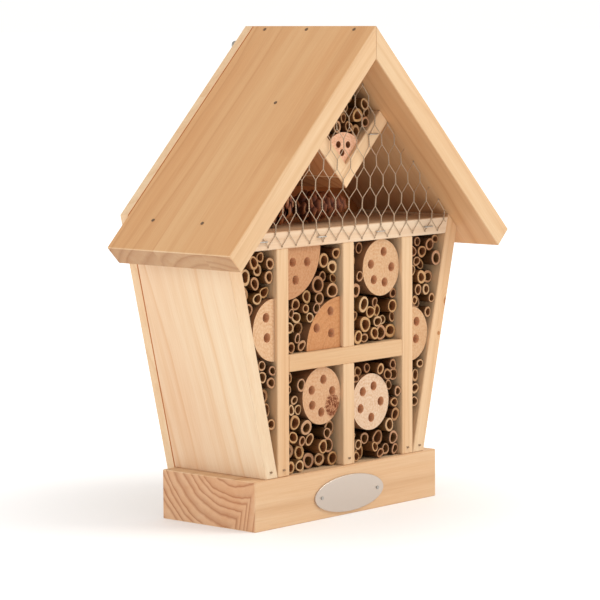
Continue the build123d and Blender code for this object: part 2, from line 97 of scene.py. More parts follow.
class Grain(Enum):
    """Which way a board's fibres run, as a direction in the frame."""

    SIDEWAYS = (1.0, 0.0, 0.0)
    UPRIGHT = (0.0, 0.0, 1.0)
    LEFT_WALL = (-0.2341, 0.0894, 0.9681)
    RIGHT_WALL = (0.2351, 0.0, 0.9720)
    LEFT_SLOPE = (-0.7071, 0.0, -0.7071)
    RIGHT_SLOPE = (0.7071, 0.0, -0.7071)


# ---- colour, nodes and meshes ---------------------------------------------------------------


def linear(code: str) -> tuple[float, float, float, float]:
    """Turns an sRGB hex colour into linear light.

    Args:
        code: the colour as "#RRGGBB".

    Returns:
        Red, green, blue and an alpha of one.
    """
    parts = [int(code[i:i + 2], 16) / 255.0 for i in (1, 3, 5)]
    red, green, blue = [c / 12.92 if c <= 0.04045 else ((c + 0.055) / 1.055) ** 2.4 for c in parts]
    return red, green, blue, 1.0


def feed(tree: Tree, socket: Socket, value: Feed) -> None:
    """Gives a socket a constant, or links it to a socket or to a node's first output."""
    if isinstance(value, bpy.types.Node):
        value = value.outputs[0]
    if isinstance(value, bpy.types.NodeSocket):
        tree.links.new(value, socket)
    else:
        socket.default_value = value


def add_node(
    tree: Tree, kind: str, feeds: dict | None = None, settings: dict | None = None
) -> bpy.types.Node:
    """Adds one node to a tree.

    Args:
        tree: the node tree.
        kind: the node's type, without the leading "ShaderNode".
        feeds: what each socket gets, by socket name or number.
        settings: the node's own properties by name.

    Returns:
        The new node.
    """
    node = tree.nodes.new("ShaderNode" + kind)
    for key, value in (settings or {}).items():
        setattr(node, key, value)
    for key, value in (feeds or {}).items():
        feed(tree, node.inputs[key], value)
    return node


def set_ramp(node: bpy.types.Node, stops: Profile) -> None:
    """Gives a colour ramp its stops, each a place and either a grey value or a hex colour."""
    ramp = node.color_ramp
    tones = [linear(tone) if isinstance(tone, str) else (tone,) * 3 + (1.0,) for _, tone in stops]
    for (place, _), tone in zip(stops[1:-1], tones[1:-1]):
        ramp.elements.new(place).color = tone
    for end in (0, -1):
        ramp.elements[end].position, ramp.elements[end].color = stops[end][0], tones[end]


def new_material(name: str) -> tuple[bpy.types.Material, Tree, bpy.types.Node]:
    """Makes an empty material with a Principled shader.

    Args:
        name: the material's name.

    Returns:
        The material, its node tree and the shader node.
    """
    material = bpy.data.materials.new(name)
    material.use_nodes = True
    tree = material.node_tree
    tree.nodes.clear()
    shader = add_node(tree, "BsdfPrincipled")
    add_node(tree, "OutputMaterial", {"Surface": shader})
    return material, tree, shader


def finish_shader(
    tree: Tree, shader: bpy.types.Node, colour: Feed, roughness: Feed, bump: bpy.types.Node
) -> None:
    """Feeds a shader its colour, roughness and bump."""
    for key, value in (("Base Color", colour), ("Roughness", roughness), ("Normal", bump)):
        feed(tree, shader.inputs[key], value)


def grid_quads(rows: int, columns: int, wrap_rows: bool, wrap_columns: bool) -> np.ndarray:
    """Quads of a grid whose points are numbered row by row.

    Args:
        rows: number of rows of points.
        columns: number of points in a row.
        wrap_rows: join the last row to the first.
        wrap_columns: join each row's last point to its first.

    Returns:
        An array of four point numbers for each quad.
    """
    r = np.arange(rows if wrap_rows else rows - 1)[:, None]
    c = np.arange(columns if wrap_columns else columns - 1)[None, :]
    r_next = (r + 1) % rows
    c_next = (c + 1) % columns
    corners = [r * columns + c, r * columns + c_next, r_next * columns + c_next, r_next * columns + c]
    return np.stack([q + np.zeros_like(r + c) for q in corners], axis=-1).reshape(-1, 4)


@dataclass
class Shape:
    """Points in millimetres, faces, and one value per point for each named attribute."""

    points: np.ndarray
    faces: list
    values: dict[str, np.ndarray] = field(default_factory=dict)


def joined(shapes: list[Shape]) -> Shape:
    """Puts several shapes into one.

    Args:
        shapes: shapes that all carry the same attributes.

    Returns:
        One shape whose faces point at the stacked points.
    """
    starts = np.cumsum([0] + [len(s.points) for s in shapes[:-1]])
    faces = [[int(v + start) for v in face] for s, start in zip(shapes, starts) for face in s.faces]
    values = {key: np.concatenate([s.values[key] for s in shapes]) for key in shapes[0].values}
    return Shape(np.concatenate([s.points for s in shapes]), faces, values)


def make_piece(name: str, shape: Shape, smooth: bool = True) -> bpy.types.Object:
    """Makes an object at the origin from a shape in millimetres.

    Args:
        name: the piece's name.
        shape: its points, faces and attributes.
        smooth: shade it smooth.

    Returns:
        The new object, linked to the scene.
    """
    mesh = bpy.data.meshes.new(name)
    mesh.from_pydata((shape.points * MM).tolist(), [], shape.faces)
    mesh.polygons.foreach_set("use_smooth", np.full(len(mesh.polygons), smooth))
    for key, values in shape.values.items():
        layer = mesh.attributes.new(key, "FLOAT", "POINT")
        layer.data.foreach_set("value", np.asarray(values, np.float32))
    mesh.update()
    piece = bpy.data.objects.new(name, mesh)
    bpy.context.scene.collection.objects.link(piece)
    return piece


def tube(path: np.ndarray, radius: float, sides: int, across: Point) -> Shape:
    """A round wire along a path, closed at both ends.

    Each point of the path carries a circle square to the path's direction; across is a direction
    that the path never takes, and the circle's first axis is square to both.

    Args:
        path: points of the wire's middle line.
        radius: radius of the wire.
        sides: points in each circle.
        across: the reference direction.

    Returns:
        The wire's surface.
    """
    along = np.gradient(path, axis=0)
    along /= np.linalg.norm(along, axis=1, keepdims=True)
    first = np.cross(along, np.asarray(across, float))
    first /= np.linalg.norm(first, axis=1, keepdims=True)
    second = np.cross(along, first)
    turn = np.linspace(0.0, 2.0 * math.pi, sides, endpoint=False)[None, :, None]
    circle = first[:, None, :] * np.cos(turn) + second[:, None, :] * np.sin(turn)
    points = (path[:, None, :] + radius * circle).reshape(-1, 3)
    faces = grid_quads(len(path), sides, False, True)[:, ::-1].tolist()
    last = (len(path) - 1) * sides
    faces.append(list(range(sides)))
    faces.append(list(range(last + sides - 1, last - 1, -1)))
    return Shape(points, faces)


def node_points(node: str) -> tuple[np.ndarray, np.ndarray]:
    """Reads a CAD node's surface.

    Args:
        node: the node's name.

    Returns:
        Its distinct points in millimetres, and three point numbers for each triangle.
    """
    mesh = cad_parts[node].data
    points = np.empty(len(mesh.vertices) * 3)
    mesh.vertices.foreach_get("co", points)
    mesh.calc_loop_triangles()
    corners = np.empty(len(mesh.loop_triangles) * 3, int)
    mesh.loop_triangles.foreach_get("vertices", corners)
    places, numbers = np.unique(points.reshape(-1, 3).round(6), axis=0, return_inverse=True)
    return places / MM, numbers.reshape(-1)[corners].reshape(-1, 3)


def islands(node: str) -> list[np.ndarray]:
    """Splits a CAD node into its separate solids.

    Args:
        node: the node's name.

    Returns:
        The points in millimetres of each solid, in the order of their lowest point number.
    """
    points, triangles = node_points(node)
    label = np.arange(len(points))
    while True:
        lowest = label[triangles].min(axis=1)
        spread = label.copy()
        np.minimum.at(spread, triangles.reshape(-1), np.repeat(lowest, 3))
        spread = spread[spread]
        if np.array_equal(spread, label):
            return [points[label == value] for value in np.unique(label)]
        label = spread


def box_mm(node: str) -> tuple[np.ndarray, np.ndarray]:
    """Lowest and highest corner of a CAD node in millimetres."""
    low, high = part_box(node)
    return np.array(low) / MM, np.array(high) / MM


# ---- finishes -------------------------------------------------------------------------------


def drawn_noise(
    tree: Tree, place: Feed, scale: Point, detail: float, roughness: float = 0.5
) -> bpy.types.Node:
    """Noise drawn out along one direction, as fibres and brush marks are.

    Args:
        tree: the node tree.
        place: the coordinates that it follows.
        scale: noise cells per unit along each axis.
        detail: how many finer layers it has.
        roughness: how strong the finer layers are.

    Returns:
        The noise.
    """
    drawn = add_node(tree, "Mapping", {"Scale": scale, "Vector": place})
    return add_node(
        tree, "TexNoise", {"Scale": 1.0, "Detail": detail, "Roughness": roughness, "Vector": drawn},
    )


def stained_and_shaded(tree: Tree, colour: Feed, stains_and_shade: list[tuple[str, Feed]]) -> Socket:
    """Darkens a colour with several tints, each a real stain or a painted shade, multiplied in by its
    own share.

    Args:
        tree: the node tree.
        colour: the bare colour.
        stains_and_shade: each tint's colour and the share that shows.

    Returns:
        The tinted colour.
    """
    for code, share in stains_and_shade:
        colour = add_node(tree, "Mix", {0: share, 6: colour, 7: linear(code)}, STAIN).outputs[2]
    return colour


def reach_from(tree: Tree, place: Feed, across: Point) -> Socket:
    """Distance from an axis: the length of what is left when the part along the axis is dropped.

    Args:
        tree: the node tree.
        place: coordinates whose origin lies on the axis.
        across: one for each coordinate to keep and zero for the one along the axis.

    Returns:
        The distance.
    """
    flat = add_node(tree, "VectorMath", {0: place, 1: across}, TIMES)
    return add_node(tree, "VectorMath", {0: flat}, {"operation": "LENGTH"}).outputs["Value"]


@dataclass(frozen=True)
class Knot:
    """A small tight knot: the end of a side branch that the saw cut through."""

    place_mm: Point
    radius_mm: float
    swell_radii: float = 3.2
    swell_rings: float = 2.2
    edge_radii: tuple[float, float] = (1.15, 0.75)


@dataclass(frozen=True)
class PlanedPine:
    """Planed and lightly sanded softwood, unvarnished: matt and warm, silky along the grain.

    The rings are cylinders round a pith line that runs along the grain, so a face cut along the
    grain shows long streaks and a sawn end shows arcs of the same rings.  Each ring is pale
    earlywood that darkens slowly into a narrow band of latewood and stops sharply.  Fibres are
    drawn coarser than real ones, which would be too fine to show.
    """

    name: str
    grain: Grain
    pith_mm: Point
    ring_mm: float = 6.0
    early: str = "#E0C6A3"
    late: str = "#C59D70"
    blush: str = "#F3DAC2"
    # Painted shade: faces that look along one of these directions take the tint, for faces that sit in
    # shade.
    painted_shades: tuple[tuple[Point, str], ...] = ()
    end_tint: str = "#DCD8D0"
    end_contrast: float = 0.4
    contrast: float = 0.6
    wander_mm: float = 6.0
    ripple_mm: float = 0.8
    strip_mm: float = 0.0
    strip_across: Point = (0.0, 1.0, 0.0)
    fold: tuple[float, float, float] | None = None
    knots: tuple[Knot, ...] = ()
    wander_per_mm: Point = (0.011, 0.011, 0.004)
    ripple_per_mm: Point = (0.09, 0.09, 0.014)
    streak_per_mm: Point = (0.16, 0.16, 0.006)
    fibre_per_mm: Point = (1.6, 1.6, 0.035)
    ring_profile: Profile = ((0.0, 0.5), (0.16, 0.0), (0.5, 0.1), (0.78, 0.5), (0.92, 1.0), (1.0, 0.5))
    uneven_rings: float = 2.2
    weakest_ring: float = 0.2
    streak_tint: str = "#EBCBA4"
    strip_tint: str = "#E4CDB6"
    fibre_tint: str = "#D9B388"
    knot_tint: str = "#A96F3D"
    end_ring_tint: str = "#BE9474"
    gloss: tuple[float, float] = (0.5, 0.68)

    def material(self) -> bpy.types.Material:
        """Builds the node tree and returns the material."""
        material, tree, shader = new_material(self.name)
        turn = Vector(self.grain.value).rotation_difference(Vector((0.0, 0.0, 1.0))).to_matrix()
        place = add_node(tree, "TexCoord").outputs["Object"]
        wood = add_node(tree, "Mapping", {
            "Location": -(turn @ Vector(self.pith_mm)), "Rotation": turn.to_euler(),
            "Scale": PER_MM, "Vector": place,
        })
        strips = []
        if self.strip_mm:
            wood, share = self.glued(tree, place, wood)
            strips = [(self.strip_tint, share)]
        wander = drawn_noise(tree, wood, self.wander_per_mm, 2.0, 0.45)
        ripple = drawn_noise(tree, wood, self.ripple_per_mm, 2.0)
        streak = drawn_noise(tree, wood, self.streak_per_mm, 3.0, 0.55)
        fibre = drawn_noise(tree, wood, self.fibre_per_mm, 4.0, 0.6)
        bent = wood
        for noise, sway in ((wander, self.wander_mm), (ripple, self.ripple_mm)):
            bent = add_node(
                tree, "VectorMath",
                {0: noise.outputs["Color"], 1: (2.0 * sway, 2.0 * sway, 0.0), 2: bent}, TIMES_PLUS,
            )
        distance = reach_from(tree, bent, (1.0, 1.0, 0.0))
        if self.fold:
            distance = self.folded(tree, place, distance)
        knot_mask = None
        for knot in self.knots:
            distance, knot_mask = self.knotted(tree, place, knot, distance, knot_mask)
        ring, late = self.rings(tree, distance)
        tone, warm, fleck = (
            add_node(
                tree, "MapRange",
                {"Value": noise, "From Min": low, "From Max": high, "To Max": most},
            )
            for noise, low, high, most in (
                (streak, 0.3, 0.7, 0.3), (wander, 0.4, 0.65, 0.55), (fibre, 0.35, 0.75, 0.22),
            )
        )
        bare = add_node(tree, "Mix", {0: late, 6: linear(self.early), 7: linear(self.late)}, BLEND)
        stains_and_shade = [(self.streak_tint, tone), (self.blush, warm), *strips, (self.fibre_tint, fleck)]
        # Real stains first, then the painted shade of faces in shade and the stain of the sawn ends.
        colour = stained_and_shaded(tree, bare.outputs[2], stains_and_shade + self.by_direction(tree, ring))
        if knot_mask is not None:
            colour = add_node(
                tree, "Mix", {0: knot_mask, 6: colour, 7: linear(self.knot_tint)}, BLEND,
            ).outputs[2]
        relief = add_node(tree, "Math", {0: late, 1: 0.6, 2: fibre}, TIMES_PLUS)
        bump = add_node(tree, "Bump", {"Strength": 0.22, "Distance": 0.4 * MM, "Height": relief})
        gloss = add_node(
            tree, "MapRange", {"Value": fibre, "To Min": self.gloss[0], "To Max": self.gloss[1]},
        )
        finish_shader(tree, shader, colour, gloss, bump)
        shader.inputs["Specular IOR Level"].default_value = 0.3
        return material

    def rings(self, tree: Tree, distance: Socket) -> tuple[bpy.types.Node, bpy.types.Node]:
        """Turns distance from the pith into rings of uneven width, some strong and some faint.

        Args:
            tree: the node tree.
            distance: distance from the pith in millimetres.

        Returns:
            The rings' own profile, and the share of latewood.
        """
        count = add_node(tree, "Math", {0: distance, 1: self.ring_mm}, {"operation": "DIVIDE"})
        uneven = add_node(tree, "TexNoise", {"Scale": 0.43, "Detail": 1.0, "W": count}, IN_LINE)
        count = add_node(tree, "Math", {0: uneven, 1: self.uneven_rings, 2: count}, TIMES_PLUS)
        phase = add_node(tree, "Math", {0: count}, {"operation": "FRACT"})
        ring = add_node(tree, "ValToRGB", {0: phase})
        set_ramp(ring, self.ring_profile)
        year = add_node(tree, "Math", {0: count}, {"operation": "FLOOR"})
        chance = add_node(tree, "TexWhiteNoise", {"W": year}, IN_LINE).outputs["Value"]
        vigour = add_node(tree, "Math", {0: chance, 1: 2.0}, {"operation": "POWER"})
        vigour = add_node(tree, "MapRange", {
            "Value": vigour, "To Min": self.weakest_ring * self.contrast, "To Max": self.contrast,
        })
        return ring, add_node(tree, "Math", {0: ring, 1: vigour}, TIMES)

    def by_direction(self, tree: Tree, ring: Feed) -> list[tuple[str, Feed]]:
        """Tints for the way a face looks: painted shade on faces that sit in shade, and the stains of
        the sawn ends.

        The open fibres of a sawn end drink the light, and most of all its latewood.

        Args:
            tree: the node tree.
            ring: the rings' profile.

        Returns:
            The colour and share of each painted shade and of each sawn-end stain.
        """
        normal = add_node(tree, "NewGeometry").outputs["Normal"]
        stains_and_shade = []
        # Painted shade on each face that looks the given way.
        for direction, code in self.painted_shades:
            facing = add_node(tree, "VectorMath", {0: normal, 1: direction}, DOT).outputs["Value"]
            painted_shade_share = add_node(tree, "MapRange", {"Value": facing, "From Min": 0.4, "From Max": 0.65})
            stains_and_shade.append((code, painted_shade_share))
        along = add_node(tree, "VectorMath", {0: normal, 1: self.grain.value}, DOT).outputs["Value"]
        square = add_node(tree, "Math", {0: along}, {"operation": "ABSOLUTE"})
        cut = add_node(tree, "MapRange", {"Value": square, "From Min": 0.72, "From Max": 0.95}, SMOOTH)
        ringed = add_node(tree, "Math", {0: cut, 1: ring}, TIMES)
        ringed = add_node(tree, "Math", {0: ringed, 1: self.end_contrast}, TIMES)
        return stains_and_shade + [(self.end_tint, cut), (self.end_ring_tint, ringed)]

    def glued(self, tree: Tree, place: Socket, wood: Feed) -> tuple[bpy.types.Node, bpy.types.Node]:
        """Splits the board into strips glued edge to edge, each cut from its own part of the log.

        Args:
            tree: the node tree.
            place: object coordinates.
            wood: coordinates along the grain in millimetres.

        Returns:
            Each strip's own coordinates, and one random share for each strip.
        """
        across = [v / (self.strip_mm * MM) for v in self.strip_across]
        run = add_node(tree, "VectorMath", {0: place, 1: across}, DOT).outputs["Value"]
        number = add_node(tree, "Math", {0: run}, {"operation": "FLOOR"})
        chance = add_node(tree, "TexWhiteNoise", {"W": number}, IN_LINE)
        other_part_mm = (18.0, 18.0, 150.0)
        moved = add_node(
            tree, "VectorMath", {0: chance.outputs["Color"], 1: other_part_mm, 2: wood}, TIMES_PLUS,
        )
        return moved, add_node(tree, "Math", {0: chance.outputs["Value"], 1: 0.3}, TIMES)

    def folded(self, tree: Tree, place: Socket, distance: Socket) -> Socket:
        """Lets the rings turn sharply down beside the board's front, as where two stems met.

        The distance is the smaller of itself and a plane that falls towards the front.

        Args:
            tree: the node tree.
            place: object coordinates.
            distance: distance from the pith.

        Returns:
            The folded distance.
        """
        start, fall, rise = self.fold
        plane = add_node(tree, "VectorMath", {0: place, 1: (0.0, fall / MM, rise / MM)}, DOT)
        offset = add_node(tree, "Math", {0: plane.outputs["Value"], 1: start}, {"operation": "ADD"})
        nearer = {"operation": "SMOOTH_MIN"}
        return add_node(tree, "Math", {0: distance, 1: offset, 2: 1.5}, nearer).outputs[0]

    def knotted(
        self, tree: Tree, place: Socket, knot: Knot, distance: Socket, mask: Socket | None
    ) -> tuple[Socket, Socket]:
        """Swells the rings round a knot and adds the knot to the mask.

        Args:
            tree: the node tree.
            place: object coordinates.
            knot: the knot.
            distance: distance from the pith.
            mask: the mask so far.

        Returns:
            The new distance and the new mask.
        """
        radius = knot.radius_mm * MM
        centre = [-v * MM for v in knot.place_mm]
        away = add_node(tree, "VectorMath", {0: place, 1: centre}, {"operation": "ADD"})
        gap = add_node(tree, "VectorMath", {0: away}, {"operation": "LENGTH"}).outputs["Value"]
        near = add_node(tree, "MapRange", {
            "Value": gap, "From Min": knot.swell_radii * radius, "From Max": 0.0,
            "To Max": knot.swell_rings * self.ring_mm,
        }, SMOOTH)
        swollen = add_node(tree, "Math", {0: distance, 1: near}, {"operation": "ADD"}).outputs[0]
        outside, inside = (share * radius for share in knot.edge_radii)
        core = add_node(
            tree, "MapRange", {"Value": gap, "From Min": outside, "From Max": inside}, SMOOTH,
        ).outputs[0]
        if mask is None:
            return swollen, core
        return swollen, add_node(tree, "Math", {0: mask, 1: core}, {"operation": "MAXIMUM"}).outputs[0]


@dataclass(frozen=True)
class CrosscutLog:
    """A peeled branch sawn across: dull pale end grain with fine rings, scorched drill holes, and an
    outer side painted dark brown as shade.
    """

    name: str
    pith_mm: Point
    face: str = "#F0D3B0"
    ring: str = "#C48E60"
    ring_mm: float = 2.6
    contrast: float = 0.75
    sway_mm: float = 7.0
    # Painted shade: the outer side is dark brown for the shade it sits in.
    side: str = "#8A6040"
    hole: str = "#DAA57C"
    scar_mm: Point | None = None
    ring_profile: Profile = ((0.0, 0.5), (0.12, 0.0), (0.6, 0.15), (0.92, 1.0), (1.0, 0.5))
    saw_marks: str = "#DDB48C"
    scar_radii_mm: tuple[float, float] = (7.0, 7.8)
    scar_dark: str = "#6A3216"
    scar_light: str = "#D29A70"

    def material(self) -> bpy.types.Material:
        """Builds the node tree and returns the material."""
        material, tree, shader = new_material(self.name)
        place = add_node(tree, "TexCoord").outputs["Object"]
        wood = add_node(tree, "Mapping", {
            "Location": [-v for v in self.pith_mm], "Scale": PER_MM, "Vector": place,
        })
        wave, patchy, grit = (
            add_node(
                tree, "TexNoise",
                {"Scale": per_mm, "Detail": detail, "Roughness": roughness, "Vector": wood},
            )
            for per_mm, detail, roughness in ((0.07, 2.0, 0.5), (0.12, 3.0, 0.5), (0.65, 4.0, 0.7))
        )
        sway = (self.sway_mm, 0.0, self.sway_mm)
        bent = add_node(tree, "VectorMath", {0: wave.outputs["Color"], 1: sway, 2: wood}, TIMES_PLUS)
        reach = reach_from(tree, bent, (1.0, 0.0, 1.0))
        count = add_node(tree, "Math", {0: reach, 1: self.ring_mm}, {"operation": "DIVIDE"})
        phase = add_node(tree, "Math", {0: count}, {"operation": "FRACT"})
        ring = add_node(tree, "ValToRGB", {0: phase})
        set_ramp(ring, self.ring_profile)
        strength = add_node(
            tree, "MapRange",
            {"Value": patchy, "From Min": 0.35, "From Max": 0.7, "To Max": self.contrast},
        )
        late = add_node(tree, "Math", {0: ring, 1: strength}, TIMES)
        bare = add_node(tree, "Mix", {0: late, 6: linear(self.face), 7: linear(self.ring)}, BLEND)
        fleck = add_node(
            tree, "MapRange", {"Value": grit, "From Min": 0.4, "From Max": 0.7, "To Max": 0.6},
        )
        shown = stained_and_shaded(tree, bare.outputs[2], [(self.saw_marks, fleck)])
        if self.scar_mm:
            shown = self.scarred(tree, place, grit, shown)
        zone = add_node(tree, "Attribute", None, {"attribute_name": "zone"}).outputs["Fac"]
        # The side takes its painted shade; the hole its scorched colour.
        for low, high, code in ((0.4, 0.6, self.side), (1.4, 1.6, self.hole)):
            share = add_node(tree, "MapRange", {"Value": zone, "From Min": low, "From Max": high})
            shown = add_node(tree, "Mix", {0: share, 6: shown, 7: linear(code)}, BLEND).outputs[2]
        bump = add_node(tree, "Bump", {"Strength": 0.35, "Distance": 0.5 * MM, "Height": grit})
        finish_shader(tree, shader, shown, 0.72, bump)
        shader.inputs["Specular IOR Level"].default_value = 0.2
        return material

    def scarred(self, tree: Tree, place: Socket, grit: Feed, colour: Socket) -> Socket:
        """Lays a torn, resin-dark knot over the face.

        Args:
            tree: the node tree.
            place: object coordinates.
            grit: fine noise that frays the knot's edge.
            colour: colour so far.

        Returns:
            The colour with the knot.
        """
        wide, high = self.scar_radii_mm
        shifted = add_node(tree, "Mapping", {
            "Location": (-self.scar_mm[0] / wide, 0.0, -self.scar_mm[2] / high),
            "Scale": (1.0 / (wide * MM), 0.0, 1.0 / (high * MM)), "Vector": place,
        })
        gap = add_node(tree, "VectorMath", {0: shifted}, {"operation": "LENGTH"}).outputs["Value"]
        frayed = add_node(tree, "Math", {0: grit, 1: 1.3, 2: gap}, TIMES_PLUS)
        mask = add_node(tree, "MapRange", {"Value": frayed, "From Min": 1.72, "From Max": 1.5}, SMOOTH)
        swirl = add_node(
            tree, "TexNoise", {"Scale": 300.0, "Detail": 5.0, "Distortion": 2.5, "Vector": place},
        )
        swirl = add_node(tree, "MapRange", {"Value": swirl, "From Min": 0.44, "From Max": 0.72})
        knot = add_node(
            tree, "Mix", {0: swirl, 6: linear(self.scar_dark), 7: linear(self.scar_light)}, BLEND,
        )
        return add_node(tree, "Mix", {0: mask, 6: colour, 7: knot.outputs[2]}, BLEND).outputs[2]


@dataclass(frozen=True)
class DriedCane:
    """Sawn bamboo and reed: a pale dry cut rim, a smooth skin painted dark brown as the shade between
    canes, and a hollow painted dark as the shade in the bore.
    """

    name: str = "dried_cane"
    rim: Codes = ("#AE7C52", "#CCAA7C", "#B48460", "#C29862", "#A07044")
    # Painted shade: the skin colours are dark brown for the shade between the packed canes.
    skin: Codes = ("#54300C", "#66451C", "#482C0C", "#6C4218", "#4C280C")
    # Painted shade: the hollow colours are dark for the shade inside the bore.
    hollow: Codes = ("#764620", "#825226", "#68451C", "#8A5226", "#603614")
    fleck: str = "#C89E6E"
    fibre_per_m: Point = (1400.0, 60.0, 1400.0)

    def material(self) -> bpy.types.Material:
        """Builds the node tree and returns the material."""
        material, tree, shader = new_material(self.name)
        tint, zone = (
            add_node(tree, "Attribute", None, {"attribute_name": name}).outputs["Fac"]
            for name in ("tint", "zone")
        )
        colours = []
        for codes in (self.rim, self.skin, self.hollow):
            colours.append(add_node(tree, "ValToRGB", {0: tint}))
            set_ramp(colours[-1], tuple(zip((0.0, 0.25, 0.5, 0.75, 1.0), codes)))
        colour = colours[0]
        for low, high, next_colour in ((0.3, 0.7, colours[1]), (1.3, 1.7, colours[2])):
            share = add_node(tree, "MapRange", {"Value": zone, "From Min": low, "From Max": high})
            colour = add_node(tree, "Mix", {0: share, 6: colour, 7: next_colour}, BLEND).outputs[2]
        place = add_node(tree, "TexCoord").outputs["Object"]
        fibre = drawn_noise(tree, place, self.fibre_per_m, 3.0)
        fleck = add_node(
            tree, "MapRange", {"Value": fibre, "From Min": 0.35, "From Max": 0.7, "To Max": 0.5},
        )
        colour = stained_and_shaded(tree, colour, [(self.fleck, fleck)])
        bump = add_node(tree, "Bump", {"Strength": 0.3, "Distance": 0.3 * MM, "Height": fibre})
        finish_shader(tree, shader, colour, 0.55, bump)
        return material


@dataclass(frozen=True)
class ConeScale:
    """Pine cone scales: dark woody brown with a lighter tip; the darkest brown, at the scale bases and
    the core, is partly painted shade for the gaps between scales.
    """

    name: str = "woody_cone_scale"
    # The darkest stops are partly painted shade for the gaps between scales; the lighter tip is the
    # scales' own colour.
    stops: Profile = (
        (0.0, "#2B130A"), (0.4, "#542410"), (0.75, "#8A4A26"), (1.0, "#C08C5E"),
    )

    def material(self) -> bpy.types.Material:
        """Builds the node tree and returns the material."""
        material, tree, shader = new_material(self.name)
        tip = add_node(tree, "Attribute", None, {"attribute_name": "tip"}).outputs["Fac"]
        place = add_node(tree, "TexCoord").outputs["Object"]
        grain = add_node(tree, "TexNoise", {"Scale": 700.0, "Detail": 4.0, "Vector": place})
        mixed = add_node(tree, "Math", {0: grain, 1: 0.35, 2: tip}, TIMES_PLUS)
        ramp = add_node(tree, "ValToRGB", {0: mixed})
        set_ramp(ramp, self.stops)
        bump = add_node(tree, "Bump", {"Strength": 0.5, "Distance": 0.4 * MM, "Height": grain})
        finish_shader(tree, shader, ramp, 0.6, bump)
        return material


@dataclass(frozen=True)
class DrawnMetal:
    """Plain metal, satin from being drawn or brushed in one direction."""

    name: str
    colour: str
    dull: str
    roughness: float
    brush_mm: Point = (0.5, 0.5, 0.5)
    depth_mm: float = 0.05
    gloss_spread: float = 0.25

    def material(self) -> bpy.types.Material:
        """Builds the node tree and returns the material."""
        material, tree, shader = new_material(self.name)
        place = add_node(tree, "TexCoord").outputs["Object"]
        scratch = drawn_noise(tree, place, [1.0 / (size * MM) for size in self.brush_mm], 3.0)
        colour = add_node(
            tree, "Mix", {0: scratch, 6: linear(self.dull), 7: linear(self.colour)}, BLEND,
        ).outputs[2]
        smoothest, roughest = (
            self.roughness * (1.0 + spread) for spread in (-self.gloss_spread, self.gloss_spread)
        )
        gloss = add_node(tree, "MapRange", {"Value": scratch, "To Min": smoothest, "To Max": roughest})
        bump = add_node(
            tree, "Bump", {"Strength": 0.25, "Distance": self.depth_mm * MM, "Height": scratch},
        )
        finish_shader(tree, shader, colour, gloss, bump)
        shader.inputs["Metallic"].default_value = 1.0
        return material


def dress(node: str, material: bpy.types.Material) -> None:
    """Gives a CAD node its finish."""
    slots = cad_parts[node].data.materials
    slots.clear()
    slots.append(material)
    LOG.info("dressed %s in %s", node, material.name)


def stand_in(
    piece: bpy.types.Object, node: str, body: str, material: bpy.types.Material
) -> None:
    """Dresses a new piece and lets it stand for a CAD node.

    Args:
        piece: the new piece.
        node: the node that it replaces.
        body: the body that it rides on.
        material: its finish.
    """
    piece.data.materials.append(material)
    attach(piece, body)
    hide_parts(node)
    LOG.info("built %s, %d faces, for %s", piece.name, len(piece.data.polygons), node)


# ---- woodwork -------------------------------------------------------------------------------


